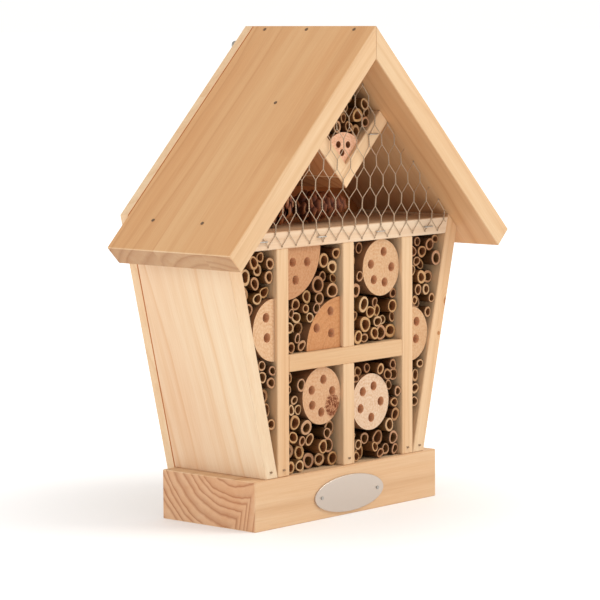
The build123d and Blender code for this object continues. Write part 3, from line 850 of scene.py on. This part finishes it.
@dataclass
class Carcass:
    """Base, walls, dividers, shelves and back: planed pine boards, each cut from its own plank."""

    boards: dict[str, PlanedPine] = field(default_factory=lambda: {
        "base_block": PlanedPine(
            "pine_base", Grain.SIDEWAYS, (0.0, -19.5, 58.0), ring_mm=5.3, wander_mm=4.0, ripple_mm=1.6,
            early="#E0C4A1", late="#C2966A", contrast=0.9, end_tint="#F3E4DD", end_contrast=0.62,
            fold=(88.0, 1.36, 0.24),
        ),
        "side_wall_left": PlanedPine(
            "pine_left_wall", Grain.LEFT_WALL, (-66.0, 74.0, 100.0), ring_mm=12.5, wander_mm=14.0,
            early="#E3CEB0", late="#CE9A62", blush="#F3DACB", contrast=0.5,
        ),
        "side_wall_right": PlanedPine(
            "pine_right_wall", Grain.RIGHT_WALL, (40.0, 20.0, 100.0), wander_mm=9.0, contrast=0.5,
            knots=(Knot((103.0, -40.0, 131.0), 3.4), Knot((94.5, -40.0, 110.0), 1.6)),
        ),
        "divider_left": PlanedPine("pine_divider_a", Grain.UPRIGHT, (-90.0, 10.0, 0.0)),
        "divider_right": PlanedPine("pine_divider_b", Grain.UPRIGHT, (24.0, -10.0, 0.0)),
        "divider_centre_lower": PlanedPine("pine_divider_c", Grain.UPRIGHT, (34.0, 12.0, 0.0)),
        "divider_centre_upper": PlanedPine("pine_divider_d", Grain.UPRIGHT, (-34.0, -12.0, 0.0)),
        "cross_rail": PlanedPine(
            "pine_rail", Grain.SIDEWAYS, (0.0, 12.0, 66.0), ring_mm=4.4, wander_mm=8.0,
            early="#D9BC96", late="#C0966A",
        ),
        "attic_floor": PlanedPine(
            "pine_attic_floor", Grain.SIDEWAYS, (0.0, -4.0, 146.0), contrast=0.4,
            # Painted shade: the attic floor's top is tinted grey for the shadow that lies on it.
            early="#E2D0B8", painted_shades=(((0.0, 0.0, 1.0), "#F0E6DA"),),
        ),
        "cradle_board_left": PlanedPine(
            "pine_cradle_a", Grain.RIGHT_SLOPE, (-20.0, 14.0, 214.0), early="#EAD5B4",
            # Painted shade: the underside is tinted darker and warmer.
            painted_shades=(((0.0, 0.0, -1.0), "#DDB498"),),
        ),
        "cradle_board_right": PlanedPine(
            "pine_cradle_b", Grain.LEFT_SLOPE, (34.0, 10.0, 214.0), early="#EDDABA",
            # Painted shade: the underside is tinted darker and warmer.
            painted_shades=(((0.0, 0.0, -1.0), "#DDB498"),),
        ),
        "back_panel": PlanedPine(
            "pine_back", Grain.UPRIGHT, (18.0, 120.0, 0.0), ring_mm=9.0, wander_mm=9.0, contrast=0.4,
            end_contrast=0.15, strip_mm=46.0, strip_across=(1.0, 0.0, 0.0),
            # Painted shade: the face that looks into the attic is tinted darker and warmer for the
            # attic's shade.
            painted_shades=(((0.0, -1.0, 0.0), "#D29A6C"),),
        ),
    })

    def build(self) -> None:
        """Gives every board of the carcass its own piece of pine."""
        for node, finish in self.boards.items():
            dress(node, finish.material())


@dataclass
class Roof:
    """Two thick boards whose grain runs down the slope, a shade darker than the carcass partly as
    painted shade, with more painted shade on their tops and undersides.
    """

    # These colours are partly painted shade: darker than the carcass pine for the roof's dimmer light.
    early: str = "#DBC09C"
    late: str = "#BB8E5E"
    ring_mm: float = 8.5

    def build(self) -> None:
        """Dresses both roof boards."""
        for node, grain, pith in (
            ("roof_panel_left", Grain.LEFT_SLOPE, (-50.0, -34.0, 170.0)),
            ("roof_panel_right", Grain.RIGHT_SLOPE, (50.0, 8.0, 178.0)),
        ):
            finish = PlanedPine(
                f"pine_{node}", grain, pith, self.ring_mm, self.early, self.late,
                contrast=0.45, wander_mm=12.0, blush="#F8E8D8",
                # Painted shade: the tops and the undersides of the boards take darker tints.
                painted_shades=(((0.0, 0.0, 1.0), "#F6E2CB"), ((0.0, 0.0, -1.0), "#FBE9D8")),
                end_tint="#DEE2EA", end_contrast=0.3, strip_mm=41.0,
            )
            dress(node, finish.material())


@dataclass
class NestLogs:
    """Drilled logs: the sawn ends stay where the drawing has them, split into face, side and hole."""

    finishes: dict[str, CrosscutLog] = field(default_factory=lambda: {
        "log_upper_right": CrosscutLog("log_beech_upper", (37.0, 0.0, 158.0), face="#CFAC87"),
        "log_lower_left": CrosscutLog(
            "log_beech_scarred", (-24.0, 0.0, 80.0), face="#CFA884", scar_mm=(-12.0, 0.0, 72.2),
        ),
        "log_lower_right": CrosscutLog(
            "log_beech_lower", (27.0, 0.0, 71.0), face="#DAC0A5", contrast=0.6,
        ),
        "log_half_left": CrosscutLog("log_beech_half_a", (-70.0, 0.0, 126.0), face="#D8B590"),
        "log_half_right": CrosscutLog("log_beech_half_b", (70.0, 0.0, 112.0), face="#CFAB85"),
        "log_quarter_top": CrosscutLog(
            "log_larch_top", (-60.0, 0.0, 184.0), face="#BF9069", ring="#A57249", contrast=0.65,
        ),
        "log_quarter_foot": CrosscutLog(
            "log_larch_foot", (-3.0, 0.0, 107.0), face="#C48E60", ring="#A46C42", contrast=0.5,
            ring_mm=4.4, sway_mm=3.0,
        ),
        "log_wedge_gable": CrosscutLog(
            "log_cherry_wedge", (0.0, 0.0, 226.0), face="#EDBFA0", ring="#C08A66", contrast=0.5,
            hole="#9A6240",
        ),
    })
    rim_mm: float = 0.6

    def split(self, node: str) -> Shape:
        """Copies a log's surface and marks each face as sawn face, outer side or hole.

        A triangle that faces along the log is sawn face; any other whose corners all lie within
        a bounding outline shrunk by rim_mm is the wall of a hole.

        Args:
            node: the log's CAD node.

        Returns:
            The log with its own points for each zone, so that the zones do not blend.
        """
        points, triangles = node_points(node)
        corners = points[triangles]
        normal = np.cross(corners[:, 1] - corners[:, 0], corners[:, 2] - corners[:, 0])
        normal /= np.linalg.norm(normal, axis=1, keepdims=True)
        is_face = np.abs(normal[:, 1]) > 0.7
        centre = corners.mean(axis=1)[:, [0, 2]]
        inward = normal[:, [0, 2]]
        flat = points[:, [0, 2]]
        reach = flat @ inward.T
        beyond = (reach - np.sum(centre * inward, axis=1)[None, :]).max(axis=0)
        is_hole = ~is_face & (beyond > self.rim_mm)
        zone = np.where(is_face, Zone.FACE.value, np.where(is_hole, Zone.HOLE.value, Zone.SIDE.value))
        keys = triangles * 3 + zone[:, None].astype(int)
        used, numbers = np.unique(keys.reshape(-1), return_inverse=True)
        return Shape(
            points[used // 3], numbers.reshape(-1, 3).tolist(), {"zone": (used % 3).astype(float)}
        )

    def build(self) -> None:
        """Builds every log."""
        for node, finish in self.finishes.items():
            piece = make_piece(node.replace("log_", "nest_log_"), self.split(node))
            stand_in(piece, node, HOUSE, finish.material())


# ---- canes and cones ------------------------------------------------------------------------


@dataclass
class CaneBundles:
    """Short lengths of dried cane, none of them truly round, sawn at slightly different lengths."""

    nodes: tuple[str, ...] = (
        "canes_left_side", "canes_upper_left", "canes_lower_left", "canes_upper_right",
        "canes_lower_right", "canes_right_side", "canes_gable",
    )
    sides: int = 20
    rim_mm: float = 0.3
    wall_share: tuple[float, float] = (0.3, 0.44)
    wall_uneven: float = 0.18
    oval: tuple[float, float] = (0.02, 0.2)
    dent: tuple[float, float] = (0.0, 0.1)
    pinch: tuple[float, float] = (0.12, 0.28)
    pinched_share: float = 0.28
    slant_mm: float = 0.7
    mouth_mm: tuple[float, float] = (2.0, 6.0)
    any_angle: float = 6.28
    seed: int = 11

    def outline(self, radius: float, draw: np.random.Generator) -> np.ndarray:
        """Radius of a cane's skin for each angle, never more than the drawn circle's.

        The circle is squashed to an oval by a cosine of twice the angle, dented by one of three
        times the angle, and a few canes are pinched to a point like a drop.

        Args:
            radius: the drawn radius.
            draw: random numbers.

        Returns:
            One radius for each angle.
        """
        angle = np.linspace(0.0, 2.0 * math.pi, self.sides, endpoint=False)
        oval, dent = draw.uniform(*self.oval), draw.uniform(*self.dent)
        first, second, third = draw.uniform(0.0, 2.0 * math.pi, 3)
        shape = 1.0 - oval * (1.0 - np.cos(2.0 * (angle - first))) / 2.0
        shape -= dent * (1.0 - np.cos(3.0 * (angle - second))) / 2.0
        if draw.random() < self.pinched_share:
            shape -= draw.uniform(*self.pinch) * (1.0 - np.abs(np.cos((angle - third) / 2.0)) ** 1.5)
        return radius * shape / shape.max()

    def cane(self, solid: np.ndarray, draw: np.random.Generator) -> Shape:
        """One cane as a ring-shaped surface: skin, eased rim, sawn rim, eased lip and hollow.

        Args:
            solid: points of the drawn tube.
            draw: random numbers.

        Returns:
            The cane's surface with its tint and zones.
        """
        low, high = solid.min(axis=0), solid.max(axis=0)
        centre = (low + high) / 2.0
        outer = self.outline((high[0] - low[0]) / 2.0, draw)
        angle = np.linspace(0.0, 2.0 * math.pi, self.sides, endpoint=False)
        wall = draw.uniform(*self.wall_share) * outer.mean()
        wall = wall * (1.0 + self.wall_uneven * np.cos(angle - draw.uniform(0.0, self.any_angle)))
        inner = outer - wall
        slant = draw.uniform(0.0, self.slant_mm)
        cut = low[1] + slant * (1.0 + np.cos(angle - draw.uniform(0.0, self.any_angle))) / 2.0
        back = np.full(self.sides, high[1])
        ease = self.rim_mm
        near, deep = self.mouth_mm
        rows = (
            (outer, back, Zone.SIDE), (outer, cut + near, Zone.SIDE), (outer, cut + ease, Zone.SIDE),
            (outer - ease, cut, Zone.FACE), (inner + ease * 0.6, cut, Zone.FACE),
            (inner, cut + ease, Zone.HOLE), (inner, cut + deep, Zone.HOLE), (inner, back, Zone.HOLE),
        )
        points = np.stack([
            np.stack([centre[0] + r * np.cos(angle), y, centre[2] + r * np.sin(angle)], axis=-1)
            for r, y, _ in rows
        ])
        zone = np.repeat([row[2].value for row in rows], self.sides)
        tint = np.full(points.shape[0] * self.sides, draw.random())
        faces = grid_quads(len(rows), self.sides, True, True).tolist()
        return Shape(points.reshape(-1, 3), faces, {"zone": zone, "tint": tint})

    def build(self) -> None:
        """Builds each room's bundle of canes."""
        material = DriedCane().material()
        for number, node in enumerate(self.nodes):
            draw = np.random.default_rng(self.seed + number)
            shape = joined([self.cane(solid, draw) for solid in islands(node)])
            piece = make_piece(node.replace("canes", "cane_bundle"), shape)
            stand_in(piece, node, HOUSE, material)


@dataclass
class PineCones:
    """Two open cones on the attic floor, their woody scales set round the core in a spiral."""

    headings: dict[str, float] = field(default_factory=lambda: {
        "pine_cone_large": 160.0, "pine_cone_small": -12.0,
    })
    scales: int = 58
    rows: int = 6
    columns: int = 5
    widest: float = 0.3
    lift_deg: tuple[float, float] = (62.0, 46.0)
    least_lift: float = 0.35
    reach: tuple[float, float] = (0.86, 1.05)
    scale_width: float = 0.47
    curl: float = 0.16
    droop: float = 0.1
    thickness: tuple[float, float] = (0.03, 0.12)
    core_rings: int = 12
    core_sides: int = 10

    def scale(self, share: float, turn: float, length: float, half: float) -> Shape:
        """One scale, narrow at the core and broad and thick at the tip, curling outwards.

        Across the scale runs v from -1 to 1 and along it u from 0 to 1; the width grows with the
        square root of u and rounds off at the tip, the edges droop with v squared and the tip
        turns up with u squared.

        Args:
            share: how far along the core it sits, 0 at the stalk and 1 at the tip.
            turn: its angle round the core.
            length: the cone's length.
            half: the cone's half width.

        Returns:
            The scale as a thin closed surface, in the cone's own frame with the core along X.
        """
        side = share - self.widest
        side /= self.widest if share < self.widest else 1.0 - self.widest
        envelope = half * math.sqrt(max(0.06, 1.0 - side * side))
        lift = math.radians(self.lift_deg[0] - self.lift_deg[1] * share)
        reach = envelope * self.reach[0] / math.sin(max(lift, self.least_lift))
        reach = min(reach, half * self.reach[1])
        u = np.linspace(0.0, 1.0, self.rows)[:, None]
        v = np.linspace(-1.0, 1.0, self.columns)[None, :]
        width = self.scale_width * half * (0.3 + 0.65 * np.sqrt(u)) * np.where(u > 0.85, 0.62, 1.0)
        width = width * (0.55 + 0.45 * math.sqrt(envelope / half))
        along = reach * u * np.ones_like(v)
        curl = self.curl * half * u ** 2 - self.droop * half * v ** 2 * u
        top = np.stack([
            along * math.cos(lift) - curl * math.sin(lift),
            along * math.sin(lift) + curl * math.cos(lift) + 0.06 * half,
            width * v,
        ], axis=-1)
        thick = (self.thickness[0] + self.thickness[1] * u ** 3) * half * np.ones_like(v)
        under = top + np.stack([thick * math.sin(lift), -thick * math.cos(lift), 0.0 * thick], axis=-1)
        both = np.concatenate([top, under[:, ::-1]], axis=1)
        both[..., 0] += (share - 0.5) * length * 0.86 - 0.5 * reach * math.cos(lift)
        away = np.hypot(both[..., 1], both[..., 2])
        both[..., 1:] *= np.minimum(1.0, envelope / np.maximum(away, 1e-6))[..., None]
        both[..., 0] = np.clip(both[..., 0], -length / 2, length / 2)
        cos, sin = math.cos(turn), math.sin(turn)
        spun = np.stack([
            both[..., 0], both[..., 1] * cos - both[..., 2] * sin,
            both[..., 1] * sin + both[..., 2] * cos,
        ], axis=-1)
        around = 2 * self.columns
        faces = grid_quads(self.rows, around, False, True)[:, ::-1].tolist()
        last = (self.rows - 1) * around
        faces.append(list(range(around)))
        faces.append(list(range(last + around - 1, last - 1, -1)))
        # Low values near the core take the darkest colour, partly painted shade for the gaps between
        # scales.
        tip = np.repeat(0.05 + 0.6 * u[:, 0] ** 4, around)
        return Shape(spun.reshape(-1, 3), faces, {"tip": tip})

    def core(self, length: float, half: float) -> Shape:
        """The woody core that the scales grow from, a spindle from end to end."""
        share = np.linspace(0.02, 0.98, self.core_rings)
        path = np.stack([(share - 0.5) * length * 0.9, 0.0 * share, 0.0 * share], axis=-1)
        shape = tube(path, 1.0, self.core_sides, (0.0, 0.0, 1.0))
        swell = 0.3 * half * np.sin(np.pi * share ** 0.8) + 0.4
        shape.points[:, 1:] *= np.repeat(swell, self.core_sides)[:, None]
        # The core takes the darkest colour, painted shade between the scales.
        shape.values["tip"] = np.zeros(len(shape.points))
        return shape

    def build(self) -> None:
        """Builds both cones."""
        material = ConeScale().material()
        for node, heading in self.headings.items():
            points, _ = node_points(node)
            middle = (points.min(axis=0) + points.max(axis=0)) / 2.0
            angle = math.radians(heading)
            ahead = np.array([math.cos(angle), math.sin(angle), 0.0])
            left = np.array([-math.sin(angle), math.cos(angle), 0.0])
            along = (points - middle) @ ahead
            length = along.max() - along.min()
            half = (points[:, 2].max() - points[:, 2].min()) / 2.0
            shares = (np.arange(self.scales) + 0.5) / self.scales
            parts = [
                self.scale(share, number * GOLDEN_TURN, length, half)
                for number, share in enumerate(shares)
            ]
            shape = joined(parts + [self.core(length, half)])
            centre = middle + ahead * (along.max() + along.min()) / 2.0
            spread = shape.points
            shape.points = (
                centre + spread[:, :1] * ahead + spread[:, 1:2] * left
                + spread[:, 2:] * np.array([0.0, 0.0, 1.0])
            )
            piece = make_piece(node.replace("pine_cone", "open_cone"), shape)
            stand_in(piece, node, HOUSE, material)


# ---- wire -----------------------------------------------------------------------------------


@dataclass
class WireNetting:
    """Hexagonal netting: each wire zigzags upwards and twists with one neighbour, then the other."""

    pitch_mm: float = 13.0
    twist_mm: float = 6.5
    wire_mm: float = 0.52
    turns: float = 2.0
    strip_mm: float = 0.4
    stub_mm: float = 1.2
    roof_gap_mm: float = 0.5
    roof_board_mm: float = 15.0
    edge_ease_mm: float = 0.35
    side_gap_mm: float = 3.0
    sag_mm: float = 0.55
    floor_top: float = field(init=False, default=0.0)
    apex: float = field(init=False, default=0.0)
    hem: float = field(init=False, default=0.0)
    half_width: float = field(init=False, default=0.0)

    def wire(self, number: int, first: Point, rows: int) -> np.ndarray:
        """Middle line of one wire.

        In a row's twist the wire winds round the upright of the mesh at half the twisted width;
        between rows it runs straight to the next column, left and right by turns.

        Args:
            number: which column, of half a pitch each, the wire starts from.
            first: x, y and z of column 0 in the middle of row 0's twist.
            rows: how many rows of meshes there are.

        Returns:
            The points of its middle line.
        """
        turn = np.linspace(0.0, 1.0, int(8 * self.turns) + 1)
        row = np.arange(rows)[:, None]
        leans_right = (number + row) % 2 == 1
        column = np.where(leans_right, number, number + 1)
        angle = 2.0 * math.pi * self.turns * turn[None, :] + np.where(leans_right, 0.0, math.pi)
        radius = self.wire_mm / 2.0
        x = first[0] + column * self.pitch_mm / 2.0 + radius * np.cos(angle)
        y = first[1] + radius * np.sin(angle)
        z = first[2] + row * self.pitch_mm + (turn[None, :] - 0.5) * self.twist_mm
        return np.stack([x, y, z], axis=-1).reshape(-1, 3)

    def settle(self, points: np.ndarray) -> np.ndarray:
        """Pulls the net gently out of true: slow waves across and up, and a slight belly forwards."""
        x, z = points[:, 0], points[:, 2]
        moved = points.copy()
        moved[:, 0] += self.sag_mm * np.sin(0.083 * z + 0.031 * x + 0.6)
        moved[:, 2] += self.sag_mm * np.sin(0.067 * x + 0.049 * z)
        free = np.clip((z - self.floor_top) / 25.0, 0.0, 1.0)
        moved[:, 1] -= free * self.sag_mm * (1.0 + np.sin(0.05 * x + 0.09 * z))
        return moved

    def clipped(self, path: np.ndarray) -> list[np.ndarray]:
        """Cuts a wire where it meets the roof, and along the hem that hangs over the attic floor.

        Args:
            path: middle line of the wire.

        Returns:
            The stretches that lie inside.
        """
        steps = np.linspace(0.0, 1.0, 5)[:-1, None]
        between = path[:-1, None, :] + (path[1:] - path[:-1])[:, None, :] * steps[None]
        dense = np.abs(np.diff(path[:, 2])) > self.pitch_mm / 4.0
        pieces = np.where(dense[:, None, None], between, between[:, :1])
        fine = np.concatenate([pieces.reshape(-1, 3), path[-1:]])
        keep = np.concatenate([[True], np.linalg.norm(np.diff(fine, axis=0), axis=1) > 1e-6])
        fine = fine[keep]
        inside = np.abs(fine[:, 0]) < self.apex - fine[:, 2]
        inside &= (fine[:, 2] > self.hem) & (np.abs(fine[:, 0]) < self.half_width)
        edges = np.flatnonzero(np.diff(np.concatenate([[0], inside.astype(int), [0]])))
        return [fine[a:b] for a, b in zip(edges[::2], edges[1::2]) if b - a > 2]

    def build(self) -> None:
        """Builds the netting."""
        low, high = box_mm("front_netting")
        floor = box_mm("attic_floor")
        ridge = box_mm("roof_panel_left")[1][2] + self.edge_ease_mm
        lean = math.sqrt(2.0)
        self.floor_top = floor[1][2]
        self.apex = ridge - self.roof_board_mm * lean - (self.roof_gap_mm + self.wire_mm) * lean
        self.hem = low[2] - self.stub_mm
        self.half_width = floor[1][0] - self.side_gap_mm
        peak = self.pitch_mm - self.twist_mm / 2.0
        first = (
            low[0] + self.strip_mm,
            high[1] - self.wire_mm,
            low[2] + self.strip_mm + peak,
        )
        rows = int((self.apex - self.hem) / self.pitch_mm) + 2
        columns = int((high[0] - low[0]) / self.pitch_mm * 2.0) + 4
        wires = []
        for number in range(-3, columns):
            path = self.wire(number, (first[0], first[1], first[2] - self.pitch_mm), rows + 1)
            wires += [
                tube(self.settle(run), self.wire_mm / 2.0, 6, (0.0, 1.0, 0.0))
                for run in self.clipped(path)
            ]
        piece = make_piece("twisted_netting", joined(wires))
        finish = DrawnMetal("galvanised_wire", "#DAC6AE", "#AC977E", 0.5, (0.4, 0.4, 1.5), 0.02)
        stand_in(piece, "front_netting", HOUSE, finish.material())


@dataclass
class NettingStaples:
    """Round wire staples that hold the netting down, their shoulders bent to a small radius."""

    wire_mm: float = 0.9
    shoulder_mm: float = 0.9

    def staple(self, solid: np.ndarray) -> Shape:
        """A leg, a quarter turn, the crown, a quarter turn and a leg."""
        low, high = solid.min(axis=0), solid.max(axis=0)
        radius = self.wire_mm / 2.0
        y_front = low[1] + radius
        bend = np.linspace(0.0, math.pi / 2.0, 5)
        middle = (low + high) / 2.0
        spread = solid[:, [0, 2]] - middle[[0, 2]]
        axes = np.linalg.svd(spread, full_matrices=False)[2][0]
        half = np.abs(spread @ axes).max() - radius
        side = half - self.shoulder_mm + self.shoulder_mm * np.sin(bend)
        depth = y_front + self.shoulder_mm * (1.0 - np.cos(bend))
        run = np.concatenate([side, [half]])
        deep = np.concatenate([depth, [high[1]]])
        across = np.concatenate([-run[::-1], run])
        inward = np.concatenate([deep[::-1], deep])
        path = np.stack(
            [middle[0] + across * axes[0], inward, middle[2] + across * axes[1]], axis=-1
        )
        return tube(path, radius, 8, (-axes[1], 0.0, axes[0]))

    def build(self) -> None:
        """Builds the staples."""
        shape = joined([self.staple(solid) for solid in islands("netting_staples")])
        finish = DrawnMetal("zinc_staple_wire", "#CFC9C0", "#8F8A84", 0.4)
        piece = make_piece("wire_staples", shape)
        stand_in(piece, "netting_staples", HOUSE, finish.material())


@dataclass
class Fixings:
    """Nails, screws, the blank oval plate and the hanger: plain metal, dressed where they are."""

    def build(self) -> None:
        """Dresses every fixing."""
        nail = DrawnMetal("bright_wire_nail", "#A08468", "#5A4636", 0.5).material()
        screw = DrawnMetal("zinc_plated_screw", "#C9C6C0", "#8C8984", 0.38).material()
        plate = DrawnMetal(
            "satin_nickel_plate", "#D0C4B9", "#C8BCB1", 0.42, (9.0, 0.12, 0.12), 0.01,
        ).material()
        steel = DrawnMetal("zinc_plated_steel", "#B9B8B4", "#86857F", 0.34, (0.7, 0.7, 0.7)).material()
        for node in ("roof_nails", "ridge_nails", "toe_nails"):
            dress(node, nail)
        for node in ("back_screws", "nameplate_pins", "hanger_screws"):
            dress(node, screw)
        for node in ("hanger_strap", "hanger_ring"):
            dress(node, steel)
        dress("nameplate", plate)


# ---- studio ---------------------------------------------------------------------------------


@dataclass
class Studio:
    """White sweep, soft lights and the camera."""

    azimuth: float = -48.36
    elevation: float = 5.82
    roll: float = -0.29
    distance: float = 1.855
    lens: float = 168.77
    aim_from_centre: Point = (0.0070, 0.0123, -0.0218)
    light_distance: float = 2.2
    floor_reach: float = 60.0
    floor_codes: tuple[str, str] = ("#DEDDDC", "#E2E1E0")
    glow_from: float = 0.07
    glow_to: float = 0.32
    glow_near: float = 0.2
    glow_far: float = 0.5

    def camera(self) -> None:
        """Sets the camera at the viewing angle, aimed a little below the object's middle."""
        az, el, roll = (math.radians(v) for v in (self.azimuth, self.elevation, self.roll))
        back = Vector((math.sin(az) * math.cos(el), -math.cos(az) * math.cos(el), math.sin(el)))
        level = Vector((math.cos(az), math.sin(az), 0.0))
        up = back.cross(level)
        right = level * math.cos(roll) + up * math.sin(roll)
        top = up * math.cos(roll) - level * math.sin(roll)
        aim = (CAD_BOX[0] + CAD_BOX[1]) / 2.0 + Vector(self.aim_from_centre)
        data = bpy.data.cameras.new("camera")
        data.lens = self.lens
        data.clip_start, data.clip_end = 0.05, 50.0
        camera = bpy.data.objects.new("camera", data)
        camera.matrix_world = Matrix.Translation(aim + back * self.distance) @ Matrix(
            (right, top, back)
        ).transposed().to_4x4()
        bpy.context.scene.collection.objects.link(camera)
        bpy.context.scene.camera = camera

    def floor(self) -> None:
        """A pale floor that reaches past the horizon on every side, and glows: a painted light, dimmer
        near the object so the floor darkens round it as painted shade, and white further off.
        """
        far = self.floor_reach / MM
        corners = ((-far, -far), (far, -far), (far, far), (-far, far))
        points = np.array([(x, y, 0.0) for x, y in corners])
        floor = make_piece("studio_floor", Shape(points, [[0, 1, 2, 3]]), smooth=False)
        material, tree, shader = new_material("matt_white_floor")
        place = add_node(tree, "TexCoord").outputs["Object"]
        mottle = add_node(tree, "TexNoise", {"Scale": 3.0, "Detail": 2.0, "Vector": place})
        dark, light = (linear(code) for code in self.floor_codes)
        shade = add_node(tree, "Mix", {0: mottle, 6: dark, 7: light}, BLEND)
        feed(tree, shader.inputs["Base Color"], shade.outputs[2])
        shader.inputs["Roughness"].default_value = 0.7
        apart = add_node(tree, "VectorMath", {0: place}, {"operation": "LENGTH"}).outputs["Value"]
        # Painted light: the floor's glow, lowest near the object and highest far off.
        glow = add_node(tree, "MapRange", {
            "Value": apart, "From Min": self.glow_from, "From Max": self.glow_to,
            "To Min": self.glow_near, "To Max": self.glow_far,
        }, SMOOTH)
        feed(tree, shader.inputs["Emission Strength"], glow)
        shader.inputs["Emission Color"].default_value = linear("#FFFFFF")
        floor.data.materials.append(material)

    def light(
        self, name: str, azimuth: float, elevation: float, size: float, power: float, tint: str
    ) -> None:
        """One square soft light that faces the object.

        Args:
            name: the light's name.
            azimuth: where it stands, 0 in front and 90 to the right.
            elevation: its height in degrees.
            size: its side in metres.
            power: its power in watts.
            tint: its colour.
        """
        az, el = math.radians(azimuth), math.radians(elevation)
        away = Vector((math.sin(az) * math.cos(el), -math.cos(az) * math.cos(el), math.sin(el)))
        data = bpy.data.lights.new(name, "AREA")
        data.shape = "SQUARE"
        data.size = size
        data.energy = power
        data.color = linear(tint)[:3]
        light = bpy.data.objects.new(name, data)
        middle = (CAD_BOX[0] + CAD_BOX[1]) / 2.0
        facing = away.to_track_quat("Z", "Y").to_matrix().to_4x4()
        light.matrix_world = Matrix.Translation(middle + away * self.light_distance) @ facing
        bpy.context.scene.collection.objects.link(light)

    def sky(self) -> None:
        """An even white surround, a little dimmer overhead than at the horizon."""
        world = bpy.data.worlds.new("white_tent")
        world.use_nodes = True
        tree = world.node_tree
        tree.nodes.clear()
        split = add_node(tree, "SeparateXYZ", {0: add_node(tree, "TexCoord").outputs["Generated"]})
        level = add_node(tree, "MapRange", {
            "Value": split.outputs["Z"], "From Min": 0.04, "From Max": 0.2,
            "To Min": 1.03, "To Max": 0.8,
        }, SMOOTH)
        tent = add_node(tree, "Background", {"Color": linear("#FFFDFB"), "Strength": level})
        add_node(tree, "OutputWorld", {"Surface": tent})
        bpy.context.scene.world = world

    def build(self) -> None:
        """Sets up the whole studio."""
        self.camera()
        self.floor()
        self.sky()
        self.light("key", 36.0, 46.0, 1.1, 23.0, "#FFFAF2")
        self.light("side", -100.0, 14.0, 1.6, 13.0, "#F8FAFF")
        bpy.context.scene.view_settings.view_transform = "Standard"


def main() -> None:
    """Builds the studio and every part of the hotel."""
    logging.basicConfig(level=logging.INFO, format="%(name)s: %(message)s")
    for part in (
        Studio(), Carcass(), Roof(), NestLogs(), CaneBundles(), PineCones(), WireNetting(),
        NettingStaples(), Fixings(),
    ):
        part.build()


if __name__ == "__main__":
    main()
